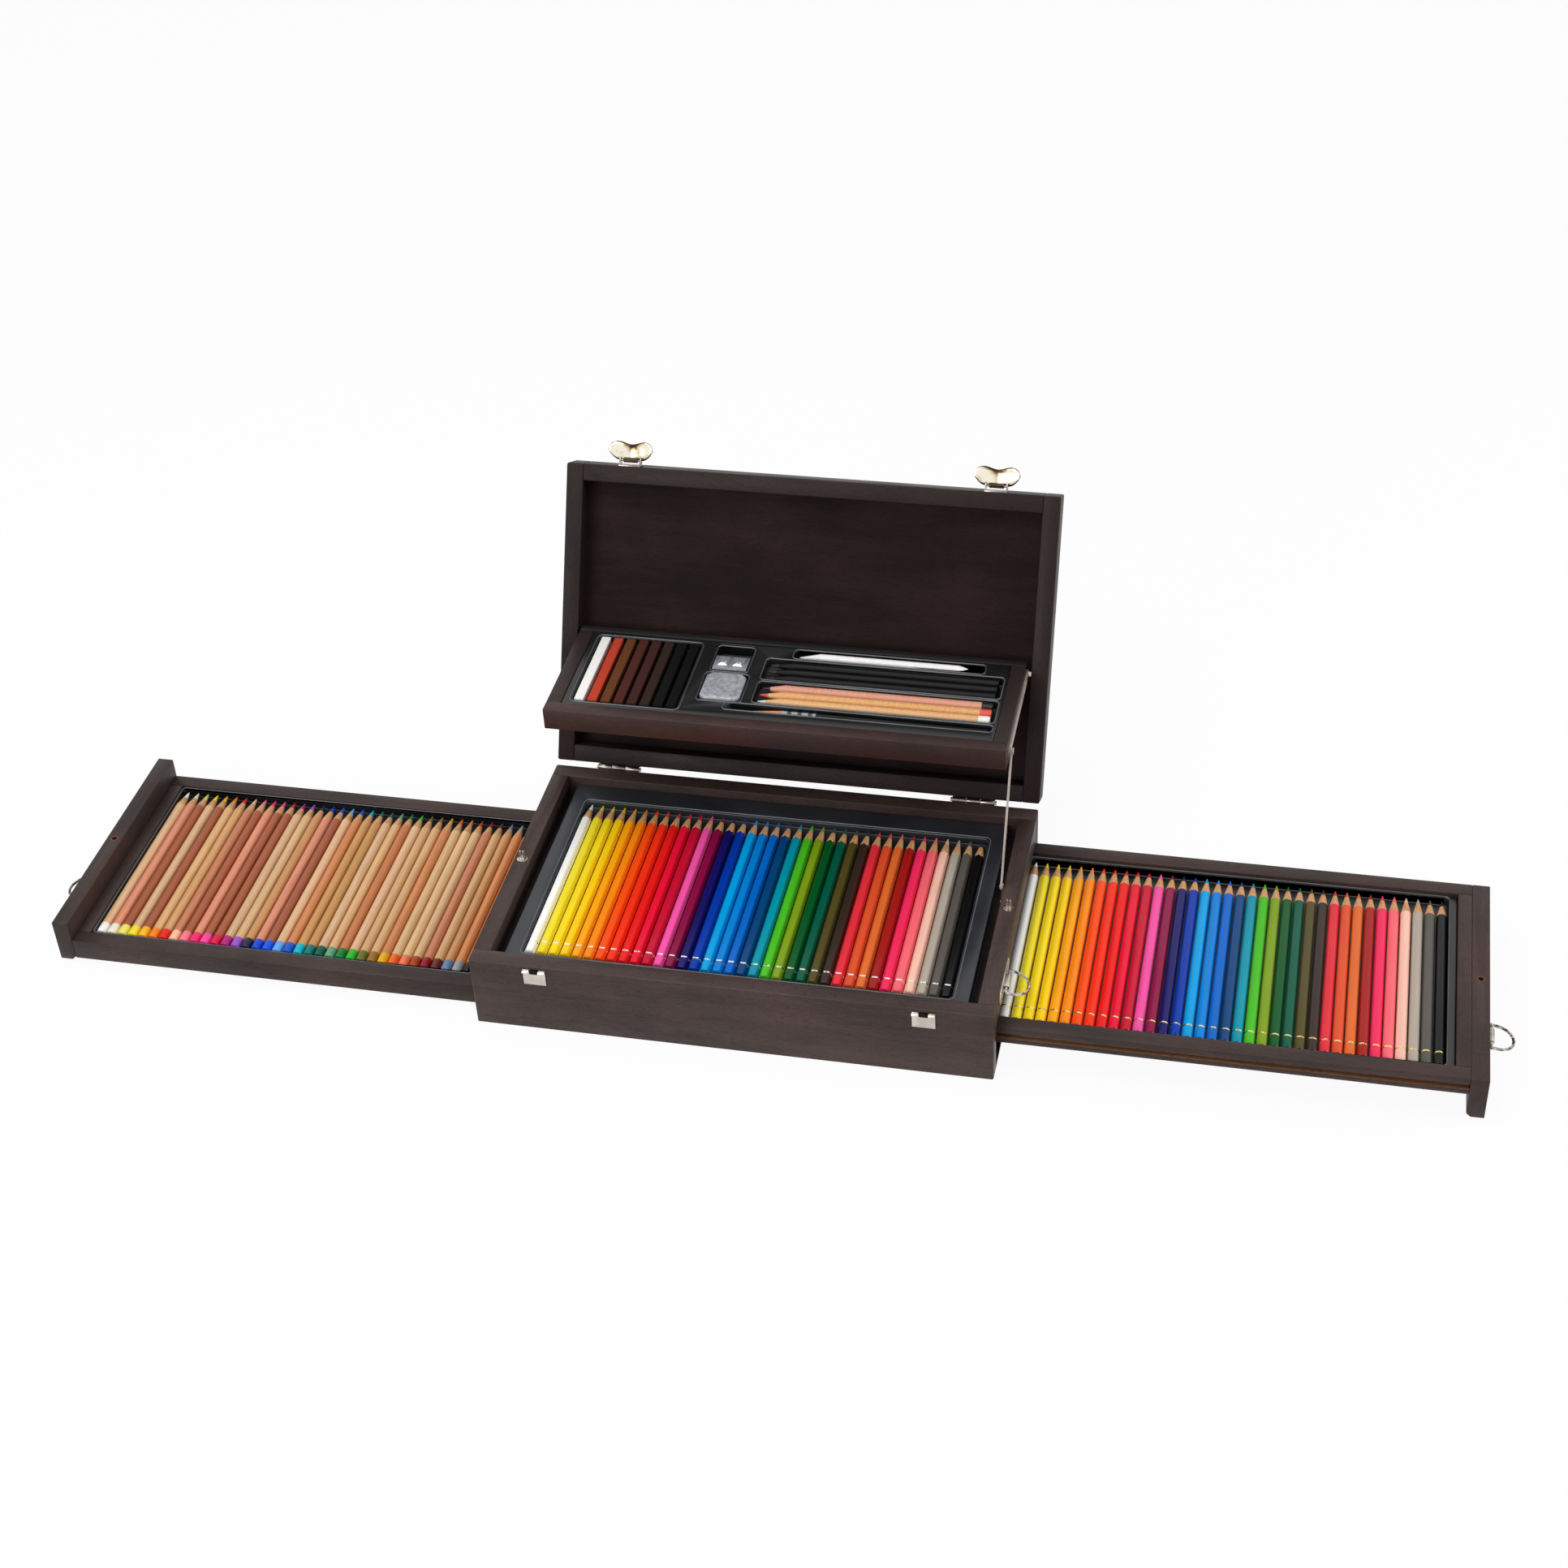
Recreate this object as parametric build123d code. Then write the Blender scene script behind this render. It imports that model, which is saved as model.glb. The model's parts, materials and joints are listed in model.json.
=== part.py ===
from build123d import *
import math
import os

# ---------------------------------------------------------------- driving dimensions (mm)
# Case: four boards round a shallow well, with an open bay for two drawers below it.
case_length = 380.0
case_height = 60.0
board = 13.0
bottom_thickness = 3.0
deck_thickness = 2.4
bay_top = 39.0              # underside of the end boards and of the deck
edge_radius = 1.5
deep_clearance = 0.6        # fascia to the front and back boards, each side
lift_clearance = 0.6        # drawer top to deck
closed_gap = 0.5            # fascia to the frame of the other drawer

# Lid: end boards run the full depth, front and back boards stand between them.
lid_height = 22.7
lid_gap = 0.3
lid_panel_thickness = 4.5
open_angle = 116.0

# Drawers: a rail frame, a floor, a formed insert and a fascia that closes the bay.
held_length = 45.0          # of a drawer that stays in the case when it is pulled out
fascia_thickness = 12.5
rail_width = 12.0
end_rail_width = 10.0
drawer_floor = 2.0
upper_frame_height = 14.4
lower_frame_height = 17.0
wear_strip_height = 2.0
wear_strip_width = 8.0
slide_clearance = 0.2
runner_height = 3.6
runner_depth = 4.6
runner_drop = 5.9           # top of the upper frame down to the top of its runner
runner_clearance = 0.3
fascia_chamfer = 3.0

# Inserts: thermoformed sheet with a flat rim and a recess.
sheet = 0.8
insert_play = 0.3
well_end_gap = 7.5          # end board to the insert of the well
well_butt_rim = 9.6         # front rim of the insert to the butts of the pencils
well_insert_rim = 7.0       # rim of the insert below the rim of the case
pocket_radius = 2.5

# Pencils.
pencil_length = 175.0
pencil_spare = 1.8          # of the drawer insert along its pencils
hex_flats = 7.2
round_diameter = 7.8
point_length = 18.0
point_end_radius = 0.5
barrel_sides = 8            # of a round pencil
bed_play = 0.2              # pencil to the floor of its recess
well_pitch = 8.7
upper_pitch = 8.54
lower_pitch = 8.3
first_margin = 4.6          # recess edge to the axis of the first pencil
well_margins = (12.7, 8.0)  # end of the insert to its recess: left, and least at the right
upper_margins = (20.0, 2.0)
lower_margins = (1.5, 30.0)
butt_margin = 1.3
tip_margin = 1.5
lower_bed_rise = 5.4        # drawer floor to the recess floor of the lower insert
upper_bed_rise = 0.1
upper_rim_drop = 3.6        # frame to the rim of the insert, clear of a lowered locking pin
lower_rim_drop = 1.6

# Hinges.
hinge_inset = 50.0          # from the end of the case to the middle of a hinge
hinge_width = 33.0
hinge_leaf_height = 13.0
leaf_thickness = 0.9
barrel_radius = 2.3
barrel_clearance = 0.1
hinge_pin_radius = 0.9
hinge_pin_play = 0.06
knuckle_count = 3
knuckle_sides = 12
knuckle_gap = 0.3

# Toggle latches and strikers.
latch_inset = 49.0          # from the end of the case to the middle of a latch
latch_base_width = 17.0
latch_base_height = 10.5
latch_plate = 1.0
latch_ear = 2.6
latch_pivot_out = 4.2
latch_pivot_up = 5.6
latch_pin_radius = 0.8
latch_barrel_radius = 1.6
lever_neck_width = 12.6
lever_reach = 14.4
wing_span = 35.0
wing_lobe_radius = 5.8
wing_curve_radius = 42.0
wing_sheet = 1.0
striker_width = 16.5
striker_height = 13.5
striker_drop = 2.5          # rim of the case down to the top of the striker
striker_lip = 1.7
striker_notch = 7.0

# Tray that hangs in the lid, with its four-bar linkage.
tray_left_gap = 2.0         # lid end board to the tray
tray_right_gap = 4.0        # the same, with room for the linkage
tray_front_gap = 13.7       # lid front board to the tray, shut
tray_depth = 112.5
tray_height = 17.5
tray_rail = 11.0
tray_back_rail = 6.0
tray_floor = 2.4
tray_rim_drop = 1.0
crank_rest_angle = 60.75    # of the crank above the horizontal when the lid stands open
tray_pivot_inset = 3.94     # back of the tray to its pivot
coupler_length = 96.5
tray_pivot_height = 8.7     # above the underside of the tray
bar_thickness = 1.3
bar_width = 7.0
bar_play = 0.3
link_thickness = 1.2
link_width = 5.0
rivet_radius = 1.3
rivet_play = 0.3
head_radius = 2.6
head_sides = 12
head_height = 0.7
pivot_depth = 4.5           # of the left pivot screw in the end of the tray

# Ring pulls.
ring_wire = 1.1
ring_sides = 6
ring_steps = 10             # flat runs of the bow
ring_radius = 11.6
ring_arm = 4.2
ring_stand_off = 3.0
ring_droop = 12.0           # degrees below the horizontal
ring_plate_length = 44.0
ring_plate_height = 11.0
ring_plate_thickness = 1.2
ring_strap_length = 13.0
ring_strap_wall = 0.9
ring_play = 0.12
fascia_ring_place = -38.0
fascia_ring_height = 20.0
case_ring_place = -70.0
case_ring_height = 52.2

# Locking pins in the end boards.
pin_radius = 1.9
pin_stand = 7.2             # above the rim when the lid is open
pin_bite = 3.2              # into the fascia when the lid is shut
pin_play = 0.1
collar_radius = 4.2
collar_thickness = 0.8
fascia_hole_depth = 6.0

# Contents of the tray.
chalk_size = 7.0
chalk_length = 82.0
chalk_pitch = 10.1
pocket_play = 1.0           # tool to the wall of its pocket
pocket_wall = 3.4           # between two pockets
row_spare = 6.0             # of a pocket along its pencils
least_gaps = 24.0           # along the tray, all gaps between its groups together
gap_shares = (0.21, 0.393, 0.299)
tray_pencil_pitch = 8.4
tray_pencil_count = 3
stump_length = 138.0
stump_radius = 4.2
eraser_length = 31.0
eraser_width = 33.0
eraser_height = 9.0
eraser_corner = 4.0
sharpener_width = 26.0
sharpener_depth = 17.0
sharpener_height = 11.0
brush_length = 176.0
brush_radius = 2.6
tool_sides = 8              # of a turned or rolled tool
brush_pocket_spare = 22.0   # of the pocket beyond the hair of the brush

# ---------------------------------------------------------------- derived places
insert_depth = pencil_length + butt_margin + tip_margin + pencil_spare + 2 * sheet
case_depth = insert_depth + 2 * (insert_play + rail_width + deep_clearance + board)
half_length = case_length / 2
half_depth = case_depth / 2
drawer_travel = case_length - held_length
hinge_place = half_length - hinge_inset
latch_place = half_length - latch_inset
inner_length = half_length - board
inner_depth = half_depth - board
fascia_depth = inner_depth - deep_clearance
frame_top = bay_top - lift_clearance
upper_floor = frame_top - upper_frame_height
lower_floor = bottom_thickness + wear_strip_height + slide_clearance
fascia_bottom = bottom_thickness + slide_clearance
fascia_inner = half_length - fascia_thickness
frame_far = -(fascia_inner - closed_gap)
deck_top = bay_top + deck_thickness
pin_place = half_length - fascia_thickness / 2

hinge_y = half_depth + barrel_radius + barrel_clearance
hinge_z = case_height + lid_gap / 2
lid_bottom = case_height + lid_gap
lid_top = lid_bottom + lid_height
lid_ceiling = lid_top - lid_panel_thickness

tray_left = -(inner_length - tray_left_gap)
tray_right = inner_length - tray_right_gap
tray_front_closed = -(inner_depth - tray_front_gap)
tray_back = tray_front_closed + tray_depth
shut_angle = math.radians(crank_rest_angle + open_angle)
rest_angle = math.radians(crank_rest_angle)
crank_length = (tray_back - tray_pivot_inset - hinge_y) / math.cos(shut_angle)
pivot_shut = (hinge_y + crank_length * math.cos(shut_angle), hinge_z + crank_length * math.sin(shut_angle))
pivot_open = (hinge_y + crank_length * math.cos(rest_angle), hinge_z + crank_length * math.sin(rest_angle))
link_foot = (hinge_y - coupler_length, hinge_z)
tray_swing = (pivot_open[0] - pivot_shut[0], pivot_open[1] - pivot_shut[1])
tray_bottom = pivot_shut[1] - tray_pivot_height
tray_top = tray_bottom + tray_height
latch_pivot = (-half_depth - latch_pivot_out, lid_bottom + latch_pivot_up)

os.makedirs("parts", exist_ok=True)
hinge_axis = Axis((0, hinge_y, hinge_z), (1, 0, 0))


# ---------------------------------------------------------------- small helpers
def block(x0, x1, y0, y1, z0, z1):
    """A box between two corners."""
    return Pos((x0 + x1) / 2, (y0 + y1) / 2, (z0 + z1) / 2) * Box(x1 - x0, y1 - y0, z1 - z0)


def rod_x(radius, x0, x1, y, z):
    """A cylinder along X."""
    return Pos((x0 + x1) / 2, y, z) * Rot(0, 90, 0) * Cylinder(radius, x1 - x0)


def rod_y(radius, x, y0, y1, z):
    """A cylinder along Y."""
    return Pos(x, (y0 + y1) / 2, z) * Rot(90, 0, 0) * Cylinder(radius, y1 - y0)


def rod_z(radius, x, y, z0, z1):
    """A cylinder along Z."""
    return Pos(x, y, (z0 + z1) / 2) * Cylinder(radius, z1 - z0)


def prism_x(radius, sides, x0, x1, y, z):
    """A regular prism along X, inside a cylinder of that radius."""
    section = RegularPolygon(radius, sides, major_radius=True)
    return Pos(x0, y, z) * Rot(0, 90, 0) * extrude(section, x1 - x0)


def facets(rings):
    """A closed solid of flat faces between rings of points, with both ends covered."""
    faces = [Face(Wire.make_polygon(rings[0])), Face(Wire.make_polygon(rings[-1]))]
    for near, far in zip(rings, rings[1:]):
        for i in range(len(near)):
            faces.append(Face(Wire.make_polygon([near[i - 1], near[i], far[i], far[i - 1]])))
    return Solid(Shell(faces))


def ring_angles(sides):
    """Angles of the corners of a regular ring."""
    return [2 * math.pi * i / sides for i in range(sides)]


def turned_y(profile, sides):
    """A faceted turned piece along +Y, from a profile of (length, radius)."""
    rings = []
    for y, radius in profile:
        rings.append([Vector(radius * math.cos(a), y, radius * math.sin(a)) for a in ring_angles(sides)])
    return facets(rings)


def turned_x(profile, sides, x, y, z):
    """A faceted turned piece along +X from a point, from a profile of (length, radius)."""
    return Pos(x, y, z) * Rot(0, 0, -90) * turned_y(profile, sides)


def tube(points, radius, sides):
    """A faceted tube through points of the XY plane, mitred where it bends."""
    corners = [Vector(*point, 0) for point in points]
    runs = [(b - a).normalized() for a, b in zip(corners, corners[1:])]
    rings = []
    for i, corner in enumerate(corners):
        before, after = runs[max(i - 1, 0)], runs[min(i, len(runs) - 1)]
        middle = (before + after).normalized()
        out = Vector(-middle.Y, middle.X, 0) * (radius / middle.dot(before))
        up = Vector(0, 0, radius)
        rings.append([corner + out * math.cos(a) + up * math.sin(a) for a in ring_angles(sides)])
    return facets(rings)


def cornered(x0, x1, y0, y1, z0, z1, cut):
    """A box whose four upright edges are cut off."""
    part = block(x0, x1, y0, y1, z0, z1)
    return chamfer(part.edges().filter_by(Axis.Z), cut)


def eased(part, pick):
    """Rounds the edges of a board that the hand meets."""
    return fillet(part.edges().filter_by(pick), edge_radius)


def save(name, pieces):
    """Writes one node, as one solid or as a group of separate solids."""
    solids = []
    for piece in pieces if isinstance(pieces, list) else [pieces]:
        solids.extend(piece.solids())
    export_step(solids[0] if len(solids) == 1 else Compound(children=solids), f"parts/{name}.step")


def opened(piece):
    """Turns a piece of the lid from shut to standing open."""
    return piece.rotate(hinge_axis, -open_angle)


def swung(piece):
    """Carries a piece of the tray from shut to its place in front of the open lid."""
    return Pos(0, tray_swing[0], tray_swing[1]) * piece


def on_corner(edge):
    """True for the upright edges at the outer corners of the case."""
    middle = edge @ 0.5
    at_end = abs(abs(middle.X) - half_length) < 0.01
    return at_end and abs(abs(middle.Y) - half_depth) < 0.01


# ---------------------------------------------------------------- case
def case_long_board(side):
    """Front (-1) or back (+1) board, the full length and height of the case."""
    part = block(-half_length, half_length, inner_depth, half_depth, 0, case_height)
    part = eased(part, on_corner)
    return part if side > 0 else mirror(part, Plane.XZ)


def collar_blank(side, top):
    """Outline of the collar that is let into an end board round its locking pin."""
    outline = RegularPolygon(collar_radius, head_sides, major_radius=True)
    return Pos(side * pin_place, 0, case_height - collar_thickness) * extrude(
        outline, top - case_height + collar_thickness)


def case_end_board(side):
    """Short board over the drawer bay, bored for its locking pin."""
    part = block(inner_length, half_length, -inner_depth, inner_depth, bay_top, case_height)
    part -= rod_z(pin_radius + pin_play, pin_place, 0, bay_top, case_height)
    part -= collar_blank(1, case_height + 1)
    return part if side > 0 else mirror(part, Plane.YZ)


save("case_front_board", case_long_board(-1))
save("case_back_board", case_long_board(1))
save("case_end_boards", [case_end_board(-1), case_end_board(1)])
save("case_bottom_panel", block(-half_length, half_length, -inner_depth, inner_depth, 0, bottom_thickness))
save("well_deck", block(-inner_length, inner_length, -inner_depth, inner_depth, bay_top, deck_top))

# Runners: strips for the grooves of the upper drawer, and wear strips under the lower one.
runner_end = fascia_inner - closed_gap * 2
runner_top = frame_top - runner_drop
strips = []
for side in (-1, 1):
    wall = side * inner_depth
    inward = sorted((wall, wall - side * runner_depth))
    strips.append(block(-runner_end, runner_end, *inward, runner_top - runner_height, runner_top))
    inward = sorted((wall, wall - side * wear_strip_width))
    strips.append(block(-runner_end, runner_end, *inward, bottom_thickness, lower_floor - slide_clearance))
save("drawer_runners", strips)

# Collars let into the end boards round the locking pins.
collars = []
for side in (-1, 1):
    collar = collar_blank(side, case_height)
    collars.append(collar - rod_z(pin_radius + pin_play, side * pin_place, 0, 0, case_height * 2))
save("pin_collars", collars)

pin_low = frame_top - pin_bite + pin_stand
for side, name in ((-1, "lock_pin_left"), (1, "lock_pin_right")):
    pin = rod_z(pin_radius, side * pin_place, 0, pin_low, case_height + pin_stand)
    save(name, chamfer(pin.edges().sort_by(Axis.Z)[-1], pin_radius / 3))


# ---------------------------------------------------------------- formed inserts
def formed_insert(x0, x1, y0, y1, z0, z1, pockets):
    """A formed sheet: flat rim, skirt down to z0 and pockets (x0, x1, y0, y1, floor, radius)."""
    shell = block(x0, x1, y0, y1, z0, z1)
    hollow = block(x0 + sheet, x1 - sheet, y0 + sheet, y1 - sheet, z0, z1 - sheet)
    for a, b, c, d, floor, cut in pockets:
        cup = cornered(a - sheet, b + sheet, c - sheet, d + sheet, floor - sheet, z1, cut + sheet)
        hollow -= cup
        shell -= cornered(a, b, c, d, floor, z1 + 1, cut)
    return shell - hollow


def pencil(barrel):
    """A pencil along +Y from its butt at the origin, with a turned point."""
    straight = pencil_length - point_length
    radius = hex_flats / math.sqrt(3) if barrel == "hex" else round_diameter / 2
    sides = 6 if barrel == "hex" else barrel_sides
    return turned_y([(0, radius), (straight, radius), (pencil_length, point_end_radius)], sides)


def pencil_row(barrel, count, first_x, pitch, butt_y, axis_z, shift_x=0.0):
    """A row of pencils side by side, all pointing to the back."""
    one = pencil(barrel)
    return [Pos(shift_x + first_x + pitch * i, butt_y, axis_z) * one for i in range(count)]


def row_count(length, margins, pitch):
    """How many pencils lie side by side in a recess between these margins."""
    return 1 + int((length - sum(margins) - 2 * first_margin) / pitch)


def recess_right(left, count, pitch):
    """Right edge of a recess that holds a whole row of pencils."""
    return left + 2 * first_margin + pitch * (count - 1)


# Well of the case.
well_y = inner_depth - insert_play
well_rim = case_height - well_insert_rim
well_floor = well_rim + 1.0 - hex_flats - bed_play
well_butt = -well_y + sheet + well_butt_rim
half_insert = inner_length - well_end_gap
well_count = row_count(2 * half_insert, well_margins, well_pitch)
well_recess_left = -half_insert + well_margins[0]
well_pocket = (
    well_recess_left,
    recess_right(well_recess_left, well_count, well_pitch),
    well_butt - butt_margin,
    well_butt + pencil_length + tip_margin,
    well_floor,
    pocket_radius,
)
save("well_insert", formed_insert(-half_insert, half_insert, -well_y, well_y, deck_top, well_rim, [well_pocket]))
well_first = well_recess_left + first_margin
well_axis = well_floor + bed_play + hex_flats / 2
save("well_pencils", pencil_row("hex", well_count, well_first, well_pitch, well_butt, well_axis))


# ---------------------------------------------------------------- drawers
def d_ring(side):
    """A D-shaped ring whose straight side lies along Y at the origin and whose bow points outwards."""
    bar = rod_y(ring_wire, 0, -ring_radius - ring_wire * 0.8, ring_radius + ring_wire * 0.8, 0)
    path = [(0, ring_radius)]
    for i in range(ring_steps + 1):
        turn = math.pi * i / ring_steps
        path.append((side * (ring_arm + ring_radius * math.sin(turn)), ring_radius * math.cos(turn)))
    path.append((0, -ring_radius))
    return bar + tube(path, ring_wire, ring_sides)


def ring_pull(side, face_x, y, z):
    """Mounting plate with its rolled strap, and the ring that turns in it."""
    outward = face_x + side * ring_stand_off
    plate_x = sorted((face_x, face_x + side * ring_plate_thickness))
    half = ring_plate_length / 2
    plate = block(*plate_x, y - half, y + half, z - ring_plate_height / 2, z + ring_plate_height / 2)
    plate = chamfer(plate.edges().filter_by(Axis.X), ring_plate_height * 0.29)
    bore = ring_wire + ring_play
    strap = Rot(-90, 0, 0) * extrude(RegularPolygon(bore + ring_strap_wall, head_sides), ring_strap_length)
    strap = Pos(outward, y - ring_strap_length / 2, z) * strap
    web_x = sorted((face_x, outward))
    web = block(*web_x, y - ring_strap_length / 2, y + ring_strap_length / 2, z - bore, z + bore)
    plate = plate + strap + web - rod_y(bore, outward, y - half, y + half, z)
    ring = Pos(outward, y, z) * Rot(0, side * ring_droop, 0) * d_ring(side)
    return plate, ring


def drawer_frame(side, floor_z, height, grooved):
    """Side rails and end rails of a drawer, in its pulled-out place."""
    top = floor_z + height
    shift = side * drawer_travel
    near, far = side * fascia_inner + shift, side * frame_far + shift
    x0, x1 = sorted((near, far))
    rails = []
    for face in (-1, 1):
        y0, y1 = sorted((face * fascia_depth, face * (fascia_depth - rail_width)))
        rail = block(x0, x1, y0, y1, floor_z, top)
        if grooved:
            depth = runner_depth + runner_clearance
            g0, g1 = sorted((face * inner_depth, face * (inner_depth - depth)))
            low = runner_top - runner_height - runner_clearance
            rail -= block(x0, x1, g0, g1, low, runner_top + runner_clearance)
        rails.append(rail)
    inner = fascia_depth - rail_width
    ends = []
    for edge, inward in ((near, -side), (far, side)):
        a, b = sorted((edge, edge + inward * end_rail_width))
        ends.append(block(a, b, -inner, inner, floor_z, top))
    return rails, ends


def fascia(side):
    """End board that closes the drawer bay, with the hole for its locking pin."""
    shift = side * drawer_travel
    x0, x1 = sorted((side * fascia_inner + shift, side * half_length + shift))
    part = block(x0, x1, -fascia_depth, fascia_depth, fascia_bottom, frame_top)
    inner_x = side * fascia_inner + shift

    def inner_bottom(edge):
        middle = edge @ 0.5
        return abs(middle.X - inner_x) < 0.01 and abs(middle.Z - fascia_bottom) < 0.01

    part = chamfer(part.edges().filter_by(inner_bottom), fascia_chamfer)
    hole_x = side * pin_place + shift
    return part - rod_z(pin_radius + pin_play * 2, hole_x, 0, frame_top - fascia_hole_depth, frame_top + 1)


def drawer(name, side, floor_z, height, grooved, margins, pitch, bed_rise, rim_drop):
    """One drawer with everything that slides with it."""
    rails, ends = drawer_frame(side, floor_z, height, grooved)
    save(f"{name}_side_rails", rails)
    save(f"{name}_end_rails", ends)
    save(f"{name}_fascia", fascia(side))
    shift = side * drawer_travel
    inner = fascia_depth - rail_width
    floor_top = floor_z + drawer_floor
    edges = sorted((side * (fascia_inner - end_rail_width), side * (frame_far + end_rail_width)))
    x0, x1 = edges[0] + shift, edges[1] + shift
    save(f"{name}_floor", block(x0, x1, -inner, inner, floor_z, floor_top))
    half = inner - insert_play
    butt = half - sheet - tip_margin - pencil_length
    bed = floor_top + sheet + bed_rise
    left = edges[0] + margins[0]
    count = row_count(edges[1] - edges[0], margins, pitch)
    recess = (left + shift, recess_right(left, count, pitch) + shift, butt - butt_margin,
              butt + pencil_length + tip_margin, bed, pocket_radius)
    rim = floor_z + height - rim_drop
    ix0, ix1 = x0 + insert_play, x1 - insert_play
    save(f"{name}_insert", formed_insert(ix0, ix1, -half, half, floor_top, rim, [recess]))
    axis_z = bed + bed_play + round_diameter / 2
    save(f"{name}_pencils", pencil_row("round", count, left + first_margin, pitch, butt, axis_z, shift))
    face_x = side * half_length + shift
    plate, ring = ring_pull(side, face_x, fascia_ring_place, fascia_ring_height)
    save(f"{name}_ring_plate", plate)
    save(f"{name}_ring", ring)


drawer("right_drawer", 1, upper_floor, upper_frame_height, True, upper_margins, upper_pitch,
       upper_bed_rise, upper_rim_drop)
drawer("left_drawer", -1, lower_floor, lower_frame_height, False, lower_margins, lower_pitch,
       lower_bed_rise, lower_rim_drop)

case_plate, case_ring = ring_pull(1, half_length, case_ring_place, case_ring_height)
save("case_ring_plate", case_plate)
save("case_ring", case_ring)


# ---------------------------------------------------------------- lid
def lid_boards():
    """End boards over the full depth, long boards between them, and the panel that they hold."""
    ends = []
    for side in (-1, 1):
        x0, x1 = sorted((side * inner_length, side * half_length))
        end = block(x0, x1, -half_depth, half_depth, lid_bottom, lid_top)
        ends.append(eased(end, on_corner))
    front = block(-inner_length, inner_length, -half_depth, -inner_depth, lid_bottom, lid_top)
    back = block(-inner_length, inner_length, inner_depth, half_depth, lid_bottom, lid_top)
    panel = block(-inner_length, inner_length, -inner_depth, inner_depth, lid_ceiling, lid_top)
    return ends, front, back, panel


ends, front, back, panel = lid_boards()
save("lid_end_boards", [opened(end) for end in ends])
save("lid_front_board", opened(front))
save("lid_back_board", opened(back))
save("lid_panel", opened(panel))


# ---------------------------------------------------------------- hinges
def hinge_leaf(middle, upper):
    """One leaf of a surface hinge with its share of the knuckles, in the shut position."""
    pitch = hinge_width / knuckle_count
    x_start = middle - hinge_width / 2
    reach = barrel_radius + knuckle_gap
    if upper:
        z0, z1 = hinge_z + reach, hinge_z + reach + hinge_leaf_height
    else:
        z0, z1 = hinge_z - reach - hinge_leaf_height, hinge_z - reach
    leaf = block(x_start, x_start + hinge_width, half_depth, half_depth + leaf_thickness, z0, z1)
    for i in range(1 if upper else 0, knuckle_count, 2):
        x0 = x_start + i * pitch + knuckle_gap / 2
        x1 = x0 + pitch - knuckle_gap
        leaf += prism_x(barrel_radius, knuckle_sides, x0, x1, hinge_y, hinge_z)
        tab = sorted((hinge_z, z0 if upper else z1))
        leaf += block(x0, x1, half_depth + barrel_clearance, half_depth + leaf_thickness, *tab)
    return leaf - rod_x(hinge_pin_radius + hinge_pin_play, x_start - 1, x_start + hinge_width + 1, hinge_y, hinge_z)


middles = (-hinge_place, hinge_place)
save("hinge_leaves_case", [hinge_leaf(middle, False) for middle in middles])
save("hinge_leaves_lid", [opened(hinge_leaf(middle, True)) for middle in middles])
hinge_pins = []
for middle in middles:
    ends_x = (middle - hinge_width / 2 - 0.2, middle + hinge_width / 2 + 0.2)
    hinge_pin = rod_x(hinge_pin_radius, *ends_x, hinge_y, hinge_z)
    for x, out in ((ends_x[0], -1), (ends_x[1], 1)):
        cap = sorted((x, x + out))
        hinge_pin += prism_x(hinge_pin_radius * 1.8, 8, *cap, hinge_y, hinge_z)
    hinge_pins.append(hinge_pin)
save("hinge_pins", hinge_pins)


# ---------------------------------------------------------------- latches
def latch_base(middle):
    """Plate on the front of the lid with two ears and the pin that the lever turns on."""
    half = latch_base_width / 2
    z0 = lid_bottom + 0.8
    face = -half_depth
    base = block(middle - half, middle + half, face - latch_plate, face, z0, z0 + latch_base_height)
    py, pz = latch_pivot
    for side in (-1, 1):
        ear = sorted((middle + side * half, middle + side * (half - latch_plate)))
        base += block(*ear, face - latch_pivot_out, face, pz - latch_ear, pz + latch_ear)
        base += prism_x(latch_ear, 8, *ear, py, pz)
    return base + rod_x(latch_pin_radius, middle - half, middle + half, py, pz)


def latch_lever(middle):
    """Winged lever, raised: it stands straight out from the lid and its wings curl down."""
    py, pz = latch_pivot
    lobe = wing_span / 2 - wing_lobe_radius
    reach = lever_reach - wing_lobe_radius
    outline = Pos(0, -reach / 2) * Rectangle(lever_neck_width, reach)
    for side in (-1, 1):
        outline += Pos(side * lobe, -reach) * RegularPolygon(wing_lobe_radius, head_sides, major_radius=True)
    outline += Pos(0, -reach) * Rectangle(2 * lobe, 2 * wing_lobe_radius * 0.72)
    blank = Pos(0, 0, -wing_span / 2) * extrude(outline, wing_span)
    crown = latch_barrel_radius
    tube = Pos(0, 0, crown - wing_curve_radius) * Rot(90, 0, 0) * Cylinder(wing_curve_radius, 4 * lever_reach)
    core = Pos(0, 0, crown - wing_curve_radius) * Rot(90, 0, 0) * Cylinder(
        wing_curve_radius - wing_sheet, 4 * lever_reach)
    wing = blank & (tube - core)
    barrel = prism_x(latch_barrel_radius, head_sides, -lever_neck_width / 2, lever_neck_width / 2, 0, 0)
    lever = wing + barrel - rod_x(latch_pin_radius + hinge_pin_play, -wing_span, wing_span, 0, 0)
    return Pos(middle, py, pz) * lever.solids().sort_by(SortBy.VOLUME)[-1]


save("latch_bases", [opened(latch_base(side * latch_place)) for side in (-1, 1)])
save("latch_lever_left", opened(latch_lever(-latch_place)))
save("latch_lever_right", opened(latch_lever(latch_place)))


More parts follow.
